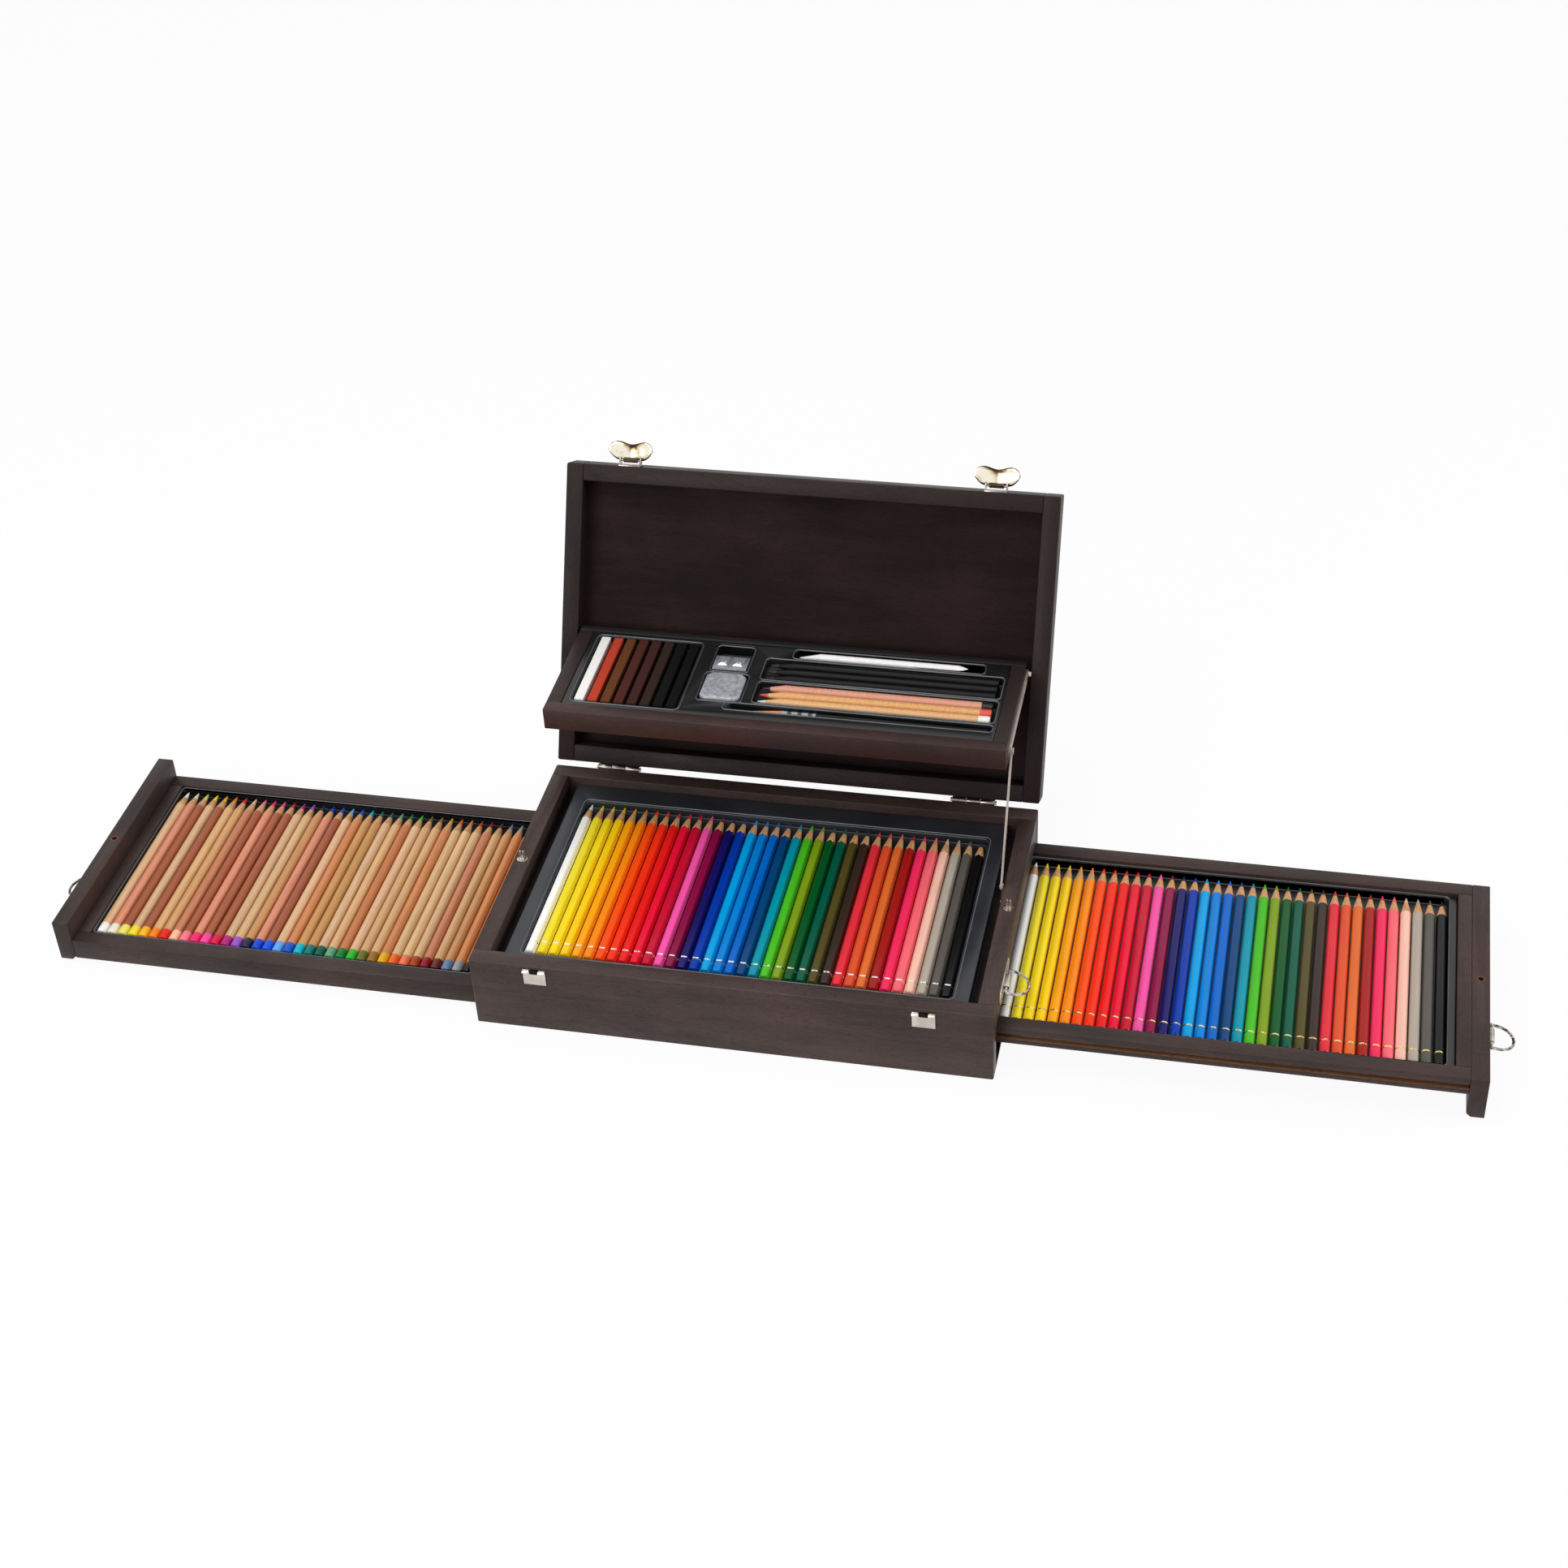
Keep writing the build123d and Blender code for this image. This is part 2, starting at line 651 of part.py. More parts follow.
def striker(middle):
    """Catch plate on the front of the case, its top edge rolled outwards and notched."""
    face = -half_depth
    top = case_height - striker_drop
    half = striker_width / 2
    plate = block(middle - half, middle + half, face - latch_plate, face, top - striker_height, top)
    axis = (face - striker_lip, top - striker_lip)
    roll = prism_x(striker_lip, head_sides, middle - half, middle + half, *axis)
    roll -= prism_x(striker_lip - latch_plate / 2, head_sides, middle - half, middle + half, *axis)
    roll &= block(middle - half, middle + half, face - 2 * striker_lip, face, top - striker_lip, top)
    notch = block(middle - striker_notch / 2, middle + striker_notch / 2, face - 9, face - 0.01,
                  top - 3.4, top + 1)
    return plate + roll - notch


save("strikers", [striker(side * latch_place) for side in (-1, 1)])


# ---------------------------------------------------------------- tray in the lid
tray_inner_left = tray_left + tray_rail
tray_inner_right = tray_right - tray_rail
tray_inner_front = tray_front_closed + tray_rail
tray_inner_back = tray_back - tray_back_rail
long_rails = [
    block(tray_left, tray_right, tray_front_closed, tray_inner_front, tray_bottom, tray_top),
    block(tray_left, tray_right, tray_inner_back, tray_back, tray_bottom, tray_top),
]
tray_ends = [
    block(tray_left, tray_inner_left, tray_inner_front, tray_inner_back, tray_bottom, tray_top),
    block(tray_inner_right, tray_right, tray_inner_front, tray_inner_back, tray_bottom, tray_top),
]
pivot_bore = rod_x(rivet_radius + hinge_pin_play, tray_left, tray_left + pivot_depth + 0.4, *pivot_shut)
long_rails[1] -= pivot_bore
save("tray_long_rails", [swung(rail) for rail in long_rails])
save("tray_end_boards", [swung(end) for end in tray_ends])
floor_top = tray_bottom + tray_floor
save("tray_floor", swung(block(tray_inner_left, tray_inner_right, tray_inner_front, tray_inner_back,
                               tray_bottom, floor_top)))

# Pockets of the tray insert, as (left, right, front, back, floor, corner). Its groups are, from the
# left, the chalk sticks, the eraser with the sharpener, and the rows of long tools.
rim = tray_top - tray_rim_drop
edge_x0, edge_x1 = tray_inner_left + insert_play, tray_inner_right - insert_play
edge_y0, edge_y1 = tray_inner_front + insert_play, tray_inner_back - insert_play
back_row = edge_y1 - 2.0
chalk_play = 1.6
row_length = pencil_length + row_spare
group_room = edge_x1 - edge_x0 - row_length - eraser_length - 2 * pocket_play
chalk_room = group_room - least_gaps - chalk_size - 2 * chalk_play
chalk_count = 1 + int(chalk_room / chalk_pitch)
chalk_width = chalk_pitch * (chalk_count - 1) + chalk_size + 2 * chalk_play
gaps = [share * (group_room - chalk_width) for share in gap_shares]

chalk_x0 = edge_x0 + gaps[0] + chalk_play
chalk_back = back_row - 4.0
chalk_bed = rim - chalk_size - bed_play + 0.4
chalk_pocket = (chalk_x0 - chalk_play, chalk_x0 - chalk_play + chalk_width, chalk_back - chalk_length - 1.4,
                chalk_back + 1.4, chalk_bed, 2.5)

row_x0 = chalk_pocket[1] + gaps[1] + eraser_length + 2 * pocket_play + gaps[2]
row_x1 = row_x0 + row_length
row_width = tray_pencil_pitch * (tray_pencil_count - 1) + round_diameter + 2 * pocket_play
pencil_bed = rim - round_diameter - bed_play + 1.2
stump_bed = rim - 2 * stump_radius - bed_play + 1.0
stump_pocket = (row_x1 - 16.0 - stump_length - 8.0, row_x1 - 16.0, back_row - 2 * stump_radius - 2.4, back_row,
                stump_bed, 3.0)
charcoal_back = stump_pocket[2] - pocket_wall
charcoal_pocket = (row_x0, row_x1, charcoal_back - row_width, charcoal_back, pencil_bed, 2.5)
pastel_back = charcoal_pocket[2] - pocket_wall
pastel_pocket = (row_x0, row_x1, pastel_back - row_width, pastel_back, pencil_bed, 2.5)
brush_bed = rim - 2 * brush_radius - bed_play - 0.6
brush_back = pastel_pocket[2] - pocket_wall
brush_pocket = (row_x1 - brush_length - brush_pocket_spare, row_x1, brush_back - 2 * brush_radius - 2.4,
                brush_back, brush_bed, 2.0)

tool_x0 = chalk_pocket[1] + gaps[1] + pocket_play
eraser_front = brush_back + 1.5 * sheet
eraser_bed = rim - eraser_height - bed_play + 2.0
eraser_pocket = (tool_x0 - pocket_play, tool_x0 + eraser_length + pocket_play, eraser_front,
                 eraser_front + eraser_width + 2 * pocket_play, eraser_bed, 2.5)
sharpener_bed = rim - sharpener_height - bed_play + 1.0
sharpener_x0 = tool_x0 + 2.0
sharpener_front = eraser_pocket[3] + 3.0 + pocket_play
sharpener_pocket = (sharpener_x0 - pocket_play, sharpener_x0 + sharpener_width + pocket_play,
                    sharpener_front - pocket_play, back_row, sharpener_bed, 1.2)
pockets = [chalk_pocket, eraser_pocket, sharpener_pocket, stump_pocket, charcoal_pocket, pastel_pocket,
           brush_pocket]
save("tray_insert", swung(formed_insert(edge_x0, edge_x1, edge_y0, edge_y1, floor_top, rim, pockets)))

sticks = []
for i in range(chalk_count):
    x0 = chalk_x0 + i * chalk_pitch
    sticks.append(swung(block(x0, x0 + chalk_size, chalk_back - chalk_length, chalk_back,
                              chalk_bed + bed_play, chalk_bed + bed_play + chalk_size)))
save("chalk_sticks", sticks)

eraser = cornered(tool_x0, tool_x0 + eraser_length, eraser_front + pocket_play,
                  eraser_front + pocket_play + eraser_width, eraser_bed + bed_play,
                  eraser_bed + bed_play + eraser_height, eraser_corner)
save("eraser_case", swung(chamfer(eraser.faces().sort_by(Axis.Z)[-1].edges(), 1.2)))


def sharpener():
    """Double-hole metal sharpener, its two blades screwed to a sloping top."""
    x0, y0, z0 = sharpener_x0, sharpener_front, sharpener_bed + bed_play
    x1, y1, z1 = x0 + sharpener_width, y0 + sharpener_depth, z0 + sharpener_height
    body = block(x0, x1, y0, y1, z0, z1)
    for i in (0, 1):
        cx = x0 + sharpener_width * (0.27 + 0.46 * i)
        hole = Pos(cx, y0 - 0.2, z0 + sharpener_height / 2 - 0.4)
        body -= hole * turned_y([(0, 4.2 - 0.9 * i), (sharpener_depth + 0.4, 1.0)], tool_sides)
    blades = []
    for i in (0, 1):
        bx = x0 + 1.8 + i * (sharpener_width / 2 - 0.4)
        blades.append(block(bx, bx + 9.6, y0 + 1.0, y1 - 1.0, z1, z1 + 0.5))
    return [body, *blades]


save("sharpener", [swung(piece) for piece in sharpener()])

stump_y = (stump_pocket[2] + stump_pocket[3]) / 2
stump_z = stump_bed + bed_play + stump_radius
stump_x0 = stump_pocket[0] + 4.0
cone = 16.0
stump_profile = [(0, 0.4), (cone, stump_radius), (stump_length - cone, stump_radius), (stump_length, 0.4)]
stump = turned_x(stump_profile, tool_sides, stump_x0, stump_y, stump_z)
save("paper_stump", swung(stump))


def tray_pencils(pocket):
    """Three pencils lying along the tray, points to the left."""
    one = Rot(0, 0, 90) * pencil("round")
    y0 = (pocket[2] + pocket[3]) / 2 - tray_pencil_pitch * (tray_pencil_count - 1) / 2
    z = pencil_bed + bed_play + round_diameter / 2
    return [swung(Pos(pocket[1] - 3.0, y0 + i * tray_pencil_pitch, z) * one) for i in range(tray_pencil_count)]


save("charcoal_pencils", tray_pencils(charcoal_pocket))
save("pastel_pencils", tray_pencils(pastel_pocket))

brush_y = (brush_pocket[2] + brush_pocket[3]) / 2
brush_z = brush_bed + bed_play + brush_radius
brush_x1 = brush_pocket[1] - 3.0
brush_x0 = brush_x1 - brush_length
hair = 22.0
ferrule = 26.0
hair_end, ferrule_end = brush_x0 + hair, brush_x0 + hair + ferrule
for name, start, end, x0, x1 in (
    ("brush_handle", brush_radius, 1.6, ferrule_end, brush_x1),
    ("brush_ferrule", brush_radius, brush_radius, hair_end, ferrule_end),
    ("brush_bristles", 0.3, brush_radius * 0.9, brush_x0, hair_end),
):
    save(name, swung(turned_x([(0, start), (x1 - x0, end)], tool_sides, x0, brush_y, brush_z)))

# ---------------------------------------------------------------- linkage of the tray, at its right end
bar_x0, bar_x1 = tray_right, tray_right + bar_thickness
link_x0, link_x1 = bar_x1 + bar_play, bar_x1 + bar_play + link_thickness
pivot_y, pivot_z = pivot_shut
coupler_end = pivot_y - coupler_length


def flat_bar(x0, x1, ya, za, yb, zb, width):
    """A flat bar with round ends between two centres in the plane of the tray's end."""
    length = math.hypot(yb - ya, zb - za)
    turn = math.degrees(math.atan2(zb - za, yb - ya))
    strip = block(x0, x1, 0, length, -width / 2, width / 2)
    for end in (0, length):
        strip += prism_x(width / 2, head_sides, x0, x1, end, 0)
    return Pos(0, ya, za) * Rot(turn, 0, 0) * strip


bar = flat_bar(bar_x0, bar_x1, coupler_end, pivot_z, pivot_y, pivot_z, bar_width)
bar -= rod_x(rivet_radius + hinge_pin_play, bar_x0 - 1, bar_x1 + 1, pivot_y, pivot_z)
bar += rod_x(rivet_radius, bar_x1, link_x1 + 0.1, coupler_end, pivot_z)
bar += prism_x(head_radius, head_sides, link_x1 + 0.1, link_x1 + 0.1 + head_height, coupler_end, pivot_z)
save("tray_arm", swung(bar))

right_screw = rod_x(rivet_radius, bar_x0 + 0.1, inner_length, pivot_y, pivot_z)
right_screw += prism_x(head_radius, head_sides, bar_x1 + bar_play / 3, inner_length, pivot_y, pivot_z)
left_screw = rod_x(rivet_radius, -inner_length, tray_left + pivot_depth, pivot_y, pivot_z)
left_screw += prism_x(head_radius, head_sides, -inner_length, tray_left - bar_play, pivot_y, pivot_z)
save("tray_pivot_screws", [opened(left_screw), opened(right_screw)])

foot_y, foot_z = link_foot
link = flat_bar(link_x0, link_x1, foot_y, foot_z, coupler_end, pivot_z, link_width)
link -= rod_x(rivet_radius + rivet_play, link_x0 - 1, link_x1 + 1, coupler_end, pivot_z)
link -= rod_x(rivet_radius + hinge_pin_play, link_x0 - 1, link_x1 + 1, foot_y, foot_z)
save("stay_link", link.rotate(Axis((0, foot_y, foot_z), (1, 0, 0)), -open_angle))

bracket_x0 = link_x1 + 0.1
bracket = flat_bar(bracket_x0, inner_length, foot_y, foot_z, foot_y - 4.0, foot_z - 11.0, 7.0)
bracket += rod_x(rivet_radius, link_x0, inner_length, foot_y, foot_z)
bracket += prism_x(head_radius, head_sides, link_x0 - head_height, link_x0 - 0.1, foot_y, foot_z)
bracket += rod_x(rivet_radius, link_x0 - 0.1, link_x0, foot_y, foot_z)
bracket += prism_x(2.2, head_sides, bracket_x0 - head_height, bracket_x0, foot_y - 4.0, foot_z - 11.0)
save("link_bracket", bracket)

least = min(ring_radius, ring_arm)
print(f"case {case_length} x {case_depth} x {case_height}, open angle {open_angle}")
print(f"lid hinge y {hinge_y:.2f} z {hinge_z:.2f}")
print(f"tray pivot open y {pivot_open[0]:.2f} z {pivot_open[1]:.2f}; shut y {pivot_shut[0]:.2f} z {pivot_shut[1]:.2f}")
print(f"link foot y {foot_y:.2f} z {foot_z:.2f}; latch pivot shut y {latch_pivot[0]:.2f} z {latch_pivot[1]:.2f}")
print(f"least bend of the rings {least:.1f}, wire {ring_wire:.1f}")
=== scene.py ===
import json
import math
import random

import bmesh
import bpy
from mathutils import Matrix, Vector


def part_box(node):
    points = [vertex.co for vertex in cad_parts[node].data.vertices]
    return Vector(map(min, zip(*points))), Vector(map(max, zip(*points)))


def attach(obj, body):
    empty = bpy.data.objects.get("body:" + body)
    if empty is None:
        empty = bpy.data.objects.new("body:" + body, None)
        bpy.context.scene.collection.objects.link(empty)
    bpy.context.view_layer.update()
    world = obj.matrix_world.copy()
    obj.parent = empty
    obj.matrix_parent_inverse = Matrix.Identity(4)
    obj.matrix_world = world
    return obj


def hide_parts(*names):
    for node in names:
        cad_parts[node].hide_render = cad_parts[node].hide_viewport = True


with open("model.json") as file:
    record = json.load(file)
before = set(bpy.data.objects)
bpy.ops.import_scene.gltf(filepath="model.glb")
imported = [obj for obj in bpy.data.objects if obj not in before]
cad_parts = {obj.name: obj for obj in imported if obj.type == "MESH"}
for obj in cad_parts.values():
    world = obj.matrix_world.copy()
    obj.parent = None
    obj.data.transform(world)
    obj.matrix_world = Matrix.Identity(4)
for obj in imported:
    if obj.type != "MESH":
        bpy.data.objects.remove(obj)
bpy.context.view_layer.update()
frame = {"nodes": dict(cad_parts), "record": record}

# ------------------------------------------------------------------------------------------------
# Boards of the case. Solid limba, planed, stained a dark brown and given one thin coat of satin
# lacquer. The long boards run past the ends of the short ones and are glued to them. All arrises
# are eased by hand, so each board catches a thin line of light along its edges.
MM = 0.001
arris = 0.7 * MM
open_lid = math.radians(116)
quarter = math.radians(90)
case_stain = ("4a3c39", "332725", "191211")


def linear(hexa):
    """An sRGB hex colour as the linear colour that the shaders take."""
    parts = [int(hexa[i:i + 2], 16) / 255 for i in (0, 2, 4)]
    return tuple(p / 12.92 if p <= 0.04045 else ((p + 0.055) / 1.055) ** 2.4 for p in parts) + (1.0,)


def add(tree, kind, values=None, **settings):
    """Adds a node; values holds, for each socket, a plain value or the (node, output) that feeds it."""
    node = tree.nodes.new(kind)
    for name, value in settings.items():
        setattr(node, name, value)
    for socket, value in (values or {}).items():
        if isinstance(value, tuple) and isinstance(value[0], bpy.types.Node):
            tree.links.new(value[0].outputs[value[1]], node.inputs[socket])
        else:
            node.inputs[socket].default_value = value
    return node


def finish_of(name, roughness, metallic=0.0, **sockets):
    """A new material, with its tree and its shader."""
    made = bpy.data.materials.new(name)
    made.use_nodes = True
    tree = made.node_tree
    shader = tree.nodes["Principled BSDF"]
    shader.inputs["Roughness"].default_value = roughness
    shader.inputs["Metallic"].default_value = metallic
    for socket, value in sockets.items():
        shader.inputs[socket.replace("_", " ")].default_value = value
    return made, tree, shader


def feed(tree, source, shader, socket):
    """Leads a (node, output) into a socket of the shader."""
    tree.links.new(source[0].outputs[source[1]], shader.inputs[socket])


def ramp(tree, source, stops):
    """Colours along a pattern, as (place, hex) stops."""
    node = add(tree, "ShaderNodeValToRGB", {0: source})
    elements = node.color_ramp.elements
    elements[0].position, elements[0].color = stops[0][0], linear(stops[0][1])
    elements[1].position, elements[1].color = stops[-1][0], linear(stops[-1][1])
    for spot, hexa in stops[1:-1]:
        elements.new(spot).color = linear(hexa)
    return node, 0


def along(tree, turn, size):
    """Object coordinates turned so that X follows the grain, with one unit for each size in mm."""
    own = add(tree, "ShaderNodeTexCoord")
    turned = add(tree, "ShaderNodeMapping", {"Vector": (own, "Object"), "Rotation": turn})
    scale = tuple(1 / (length * MM) for length in size)
    return add(tree, "ShaderNodeMapping", {"Vector": (turned, 0), "Scale": scale}), 0


def stained_limba(name, turn, stain, rough=0.46, blush="4a2e2a", shine=0.24):
    """Limba under a stain of three colours (light, dark, pore). The stain lies in clouds 45 mm wide with
    a reddish blush; bands 11 mm wide, short fibres and pores 4 mm long break up the sheen."""
    light, dark, pore = stain
    made, tree, shader = finish_of(name, rough, Specular_IOR_Level=shine)
    bands = add(tree, "ShaderNodeTexNoise", {
        "Vector": along(tree, turn, (110, 11, 11)), "Scale": 1.0, "Detail": 3.0, "Roughness": 0.55,
        "Distortion": 0.8})
    cloud = add(tree, "ShaderNodeTexNoise", {
        "Vector": along(tree, turn, (75, 45, 45)), "Scale": 1.0, "Detail": 3.0})
    fibre = add(tree, "ShaderNodeTexNoise", {
        "Vector": along(tree, turn, (8, 0.8, 0.8)), "Scale": 1.0, "Detail": 2.0, "Roughness": 0.6})
    holes = add(tree, "ShaderNodeTexNoise", {
        "Vector": along(tree, turn, (4.2, 0.6, 0.6)), "Scale": 1.0, "Detail": 1.0})
    figure = add(tree, "ShaderNodeMath", {0: (bands, 0), 1: 0.30}, operation="MULTIPLY")
    for part, share in ((cloud, 0.48), (fibre, 0.22)):
        figure = add(tree, "ShaderNodeMath", {0: (part, 0), 1: share, 2: (figure, 0)},
                     operation="MULTIPLY_ADD")
    tone = ramp(tree, (figure, 0), ((0.38, dark), (0.62, light)))
    warmth = add(tree, "ShaderNodeMapRange", {
        "Value": (cloud, 0), "From Min": 0.45, "From Max": 0.62, "To Min": 0.0, "To Max": 0.24})
    warm = add(tree, "ShaderNodeMix", {0: (warmth, 0), 6: tone, 7: linear(blush)}, data_type="RGBA")
    depth = add(tree, "ShaderNodeMapRange", {
        "Value": (holes, 0), "From Min": 0.56, "From Max": 0.68, "To Min": 0.0, "To Max": 0.55})
    colour = add(tree, "ShaderNodeMix", {0: (depth, 0), 6: (warm, 2), 7: linear(pore)}, data_type="RGBA")
    feed(tree, (colour, 2), shader, "Base Color")
    sheen = add(tree, "ShaderNodeMapRange", {
        "Value": (figure, 0), "From Min": 0.4, "From Max": 0.6, "To Min": rough + 0.07,
        "To Max": rough - 0.05})
    feed(tree, (sheen, 0), shader, "Roughness")
    relief = add(tree, "ShaderNodeMath", {0: (fibre, 0), 1: (depth, 0)}, operation="SUBTRACT")
    bump = add(tree, "ShaderNodeBump", {"Height": (relief, 0), "Strength": 0.45, "Distance": 0.14 * MM})
    feed(tree, (bump, 0), shader, "Normal")
    return made


def place(name, work, materials, body, keep_sharp=35):
    """Turns the bmesh into a piece of the object that rides on a body."""
    bmesh.ops.recalc_face_normals(work, faces=work.faces)
    for face in work.faces:
        face.smooth = True
    for edge in work.edges:
        edge.smooth = len(edge.link_faces) == 2 and edge.calc_face_angle(0) < math.radians(keep_sharp)
    mesh = bpy.data.meshes.new(name)
    work.to_mesh(mesh)
    work.free()
    piece = bpy.data.objects.new(name, mesh)
    bpy.context.scene.collection.objects.link(piece)
    for material in materials:
        mesh.materials.append(material)
    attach(piece, body)
    return piece


body_of_node = {node: body for body, nodes in frame["record"]["behaviour"]["bodies"].items()
                for node in nodes}


def merged(node):
    """A bmesh of a CAD node, with its loose triangles merged into whole faces."""
    work = bmesh.new()
    work.from_mesh(frame["nodes"][node].data)
    for face in work.faces:
        face.material_index = 0
    bmesh.ops.remove_doubles(work, verts=work.verts, dist=1e-6)
    bmesh.ops.dissolve_limit(work, angle_limit=math.radians(0.5), verts=work.verts, edges=work.edges)
    return work


def round_off(work, edges, width, segments):
    """Rounds these edges of a bmesh."""
    bmesh.ops.bevel(work, geom=edges, offset=width, offset_type="OFFSET", segments=segments, profile=0.5,
                    affect="EDGES", clamp_overlap=True, material=-1)


def eased(node, width, material, segments=2):
    """A CAD node with its sharp edges rounded, in place of the bare one."""
    work = merged(node)
    sharp = [edge for edge in work.edges if edge.calc_face_angle(0) > math.radians(40)]
    round_off(work, sharp, width, segments)
    piece = place(node + "_eased", work, [material], body_of_node[node], keep_sharp=60)
    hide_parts(node)
    return piece


def dress(node, material):
    """Gives a CAD node its real material."""
    owner = frame["nodes"][node]
    if not owner.material_slots:
        owner.data.materials.append(material)
    for slot in owner.material_slots:
        slot.material = material


grain_x = (0.0, 0.0, 0.0)
grain_y = (0.0, 0.0, quarter)
wood_long = stained_limba("limba_stained_long_boards", grain_x, case_stain)
wood_short = stained_limba("limba_stained_short_boards", grain_y, case_stain)
eased("case_front_board", arris, wood_long)
eased("case_back_board", arris, wood_long)
eased("case_end_boards", arris, wood_short)

# ------------------------------------------------------------------------------------------------
# Bottom panel and the deck under the well. Three-ply board, stained with the case and let in
# between its boards; only the bottom panel's edges and underside are ever seen. The deck is seen
# only down the gap round the well and is coloured near-black beyond the stain: painted shade.
wood_panel = stained_limba("limba_veneer_stained_panels", grain_x, ("33272a", "1f1719", "120c0d"), rough=0.56)
# Near-black deck: painted shade of the narrow gap round the well.
deck_painted_shade = stained_limba("limba_veneer_deck_painted_shade", grain_x, ("1c1516", "100c0d", "0a0707"), rough=0.7)
dress("case_bottom_panel", wood_panel)
dress("well_deck", deck_painted_shade)

# ------------------------------------------------------------------------------------------------
# Drawer runners. Bare beech strips waxed for sliding, glued along the inside of the front and
# back boards; they are a warmer and lighter brown than the stained boards.
wood_runner = stained_limba("beech_waxed_runners", grain_x, ("7a5a40", "5b412e", "3a281c"), rough=0.45)
dress("drawer_runners", wood_runner)

# ------------------------------------------------------------------------------------------------
# Formed insert of the well. One sheet of black polystyrene, vacuum-formed over a mould: it has a
# flat rim, a pocket with rounded edges and a raised bead round the pocket. The sheet keeps a soft
# gloss, with the faint unevenness of formed sheet.
sheet_fold = 1.1 * MM
bead_width, bead_height, bead_root = 0.9 * MM, 0.45 * MM, 0.05 * MM
bead_gap = 2.3 * MM
pocket_corner = 2.5 * MM
well_pocket = (-156.8 * MM, 156.9 * MM, -94.1 * MM, 83.7 * MM)


def formed_sheet(name, shade, rough):
    """Black polystyrene sheet: broad waves from forming and a fine orange-peel skin."""
    made, tree, shader = finish_of(name, rough, IOR=1.58)
    spots = add(tree, "ShaderNodeTexNoise", {
        "Vector": along(tree, grain_x, (50, 50, 50)), "Scale": 1.0, "Detail": 2.0})
    feed(tree, ramp(tree, (spots, 0), ((0.35, shade[0]), (0.65, shade[1]))), shader, "Base Color")
    skin = add(tree, "ShaderNodeTexNoise", {
        "Vector": along(tree, grain_x, (0.8, 0.8, 0.8)), "Scale": 1.0, "Detail": 2.0})
    gloss = add(tree, "ShaderNodeMapRange", {
        "Value": (spots, 0), "From Min": 0.3, "From Max": 0.7, "To Min": rough - 0.04, "To Max": rough + 0.05})
    feed(tree, (gloss, 0), shader, "Roughness")
    bump = add(tree, "ShaderNodeBump", {"Height": (skin, 0), "Strength": 0.12, "Distance": 0.08 * MM})
    feed(tree, (bump, 0), shader, "Normal")
    return made


def hollowed(work, thickness):
    """Cuts a flat face away but for a border of this thickness."""
    field = work.faces[:]
    bmesh.ops.inset_region(work, faces=field, thickness=thickness, use_even_offset=True, use_boundary=True)
    bmesh.ops.delete(work, geom=field, context="FACES")


def bead(name, pocket, z, material, body, gap=bead_gap):
    """A raised bead round a pocket (x0, x1, y0, y1), pressed up out of the sheet."""
    x0, x1, y0, y1 = pocket
    work = bmesh.new()
    bmesh.ops.create_grid(work, x_segments=1, y_segments=1, size=0.5)
    bmesh.ops.scale(work, verts=work.verts, vec=(x1 - x0 + 2 * gap, y1 - y0 + 2 * gap, 1))
    bmesh.ops.translate(work, verts=work.verts, vec=((x0 + x1) / 2, (y0 + y1) / 2, z))
    bmesh.ops.bevel(work, geom=work.verts, offset=pocket_corner + gap, offset_type="OFFSET", segments=6,
                    profile=0.5, affect="VERTICES", material=-1)
    hollowed(work, bead_width)
    bmesh.ops.subdivide_edges(work, edges=[e for e in work.edges if not e.is_boundary], cuts=3)
    for vert in work.verts:
        vert.co.z = z - bead_root if vert.is_boundary else z + bead_height
    return place(name, work, [material], body, keep_sharp=80)


well_sheet = formed_sheet("polystyrene_sheet_charcoal", ("212327", "2c2e33"), 0.34)
# The bead is a paler grey than the sheet: a painted highlight along its crest.
crest_painted_highlight = formed_sheet("polystyrene_sheet_crest_painted_highlight", ("50545a", "6a6f75"), 0.30)
eased("well_insert", sheet_fold, well_sheet, segments=3)
low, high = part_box("well_insert")
bead("well_insert_bead", well_pocket, high[2], crest_painted_highlight, "case")

# ------------------------------------------------------------------------------------------------
# Pencils of the well. Thirty-six six-sided cedar pencils in glossy coloured lacquer, dipped to a
# rounded end below a thin foil band, and turned to a point that leaves bare cedar between the
# lacquer and the coloured lead. On six sides the lacquer ends in scallops.
pencil_length = 175 * MM
point_length = 18 * MM
point_start = pencil_length - point_length
pencil_tip = pencil_length - 0.3 * MM
scallop = 2.1 * MM
hex_corner, hex_flat, hex_outside = 4.10, 3.6, 4.157
lead_radius, tip_radius, core_radius = 1.75, 0.46, 0.5
artist_colours = (
    "fbfaf7 f7e32c fadd1c fccf10 fba60e fb8b10 fb5010 f53214 ec1c1a ec1236 c80e32 f554a6 8a0a42 150f60 "
    "0036a4 009fe2 0080d4 0066c6 004278 0093aa 48bc22 7f9f18 005420 005840 52481f 33271f e22f3c e0522c "
    "e36c2e a41a16 f52c5e fa6a76 f9c2ae b3a799 5a564f 0c0c0c"
).split()
coloured, cut, pigment, band = 0, 1, 2, 3       # the places of a pencil's four materials


def is_corner(vert):
    """Whether a point of a twelve-sided ring is a corner of the six-sided pencil, not a flat's middle."""
    return round(math.degrees(math.atan2(vert.co.z, vert.co.x)) / 30) % 2 == 0


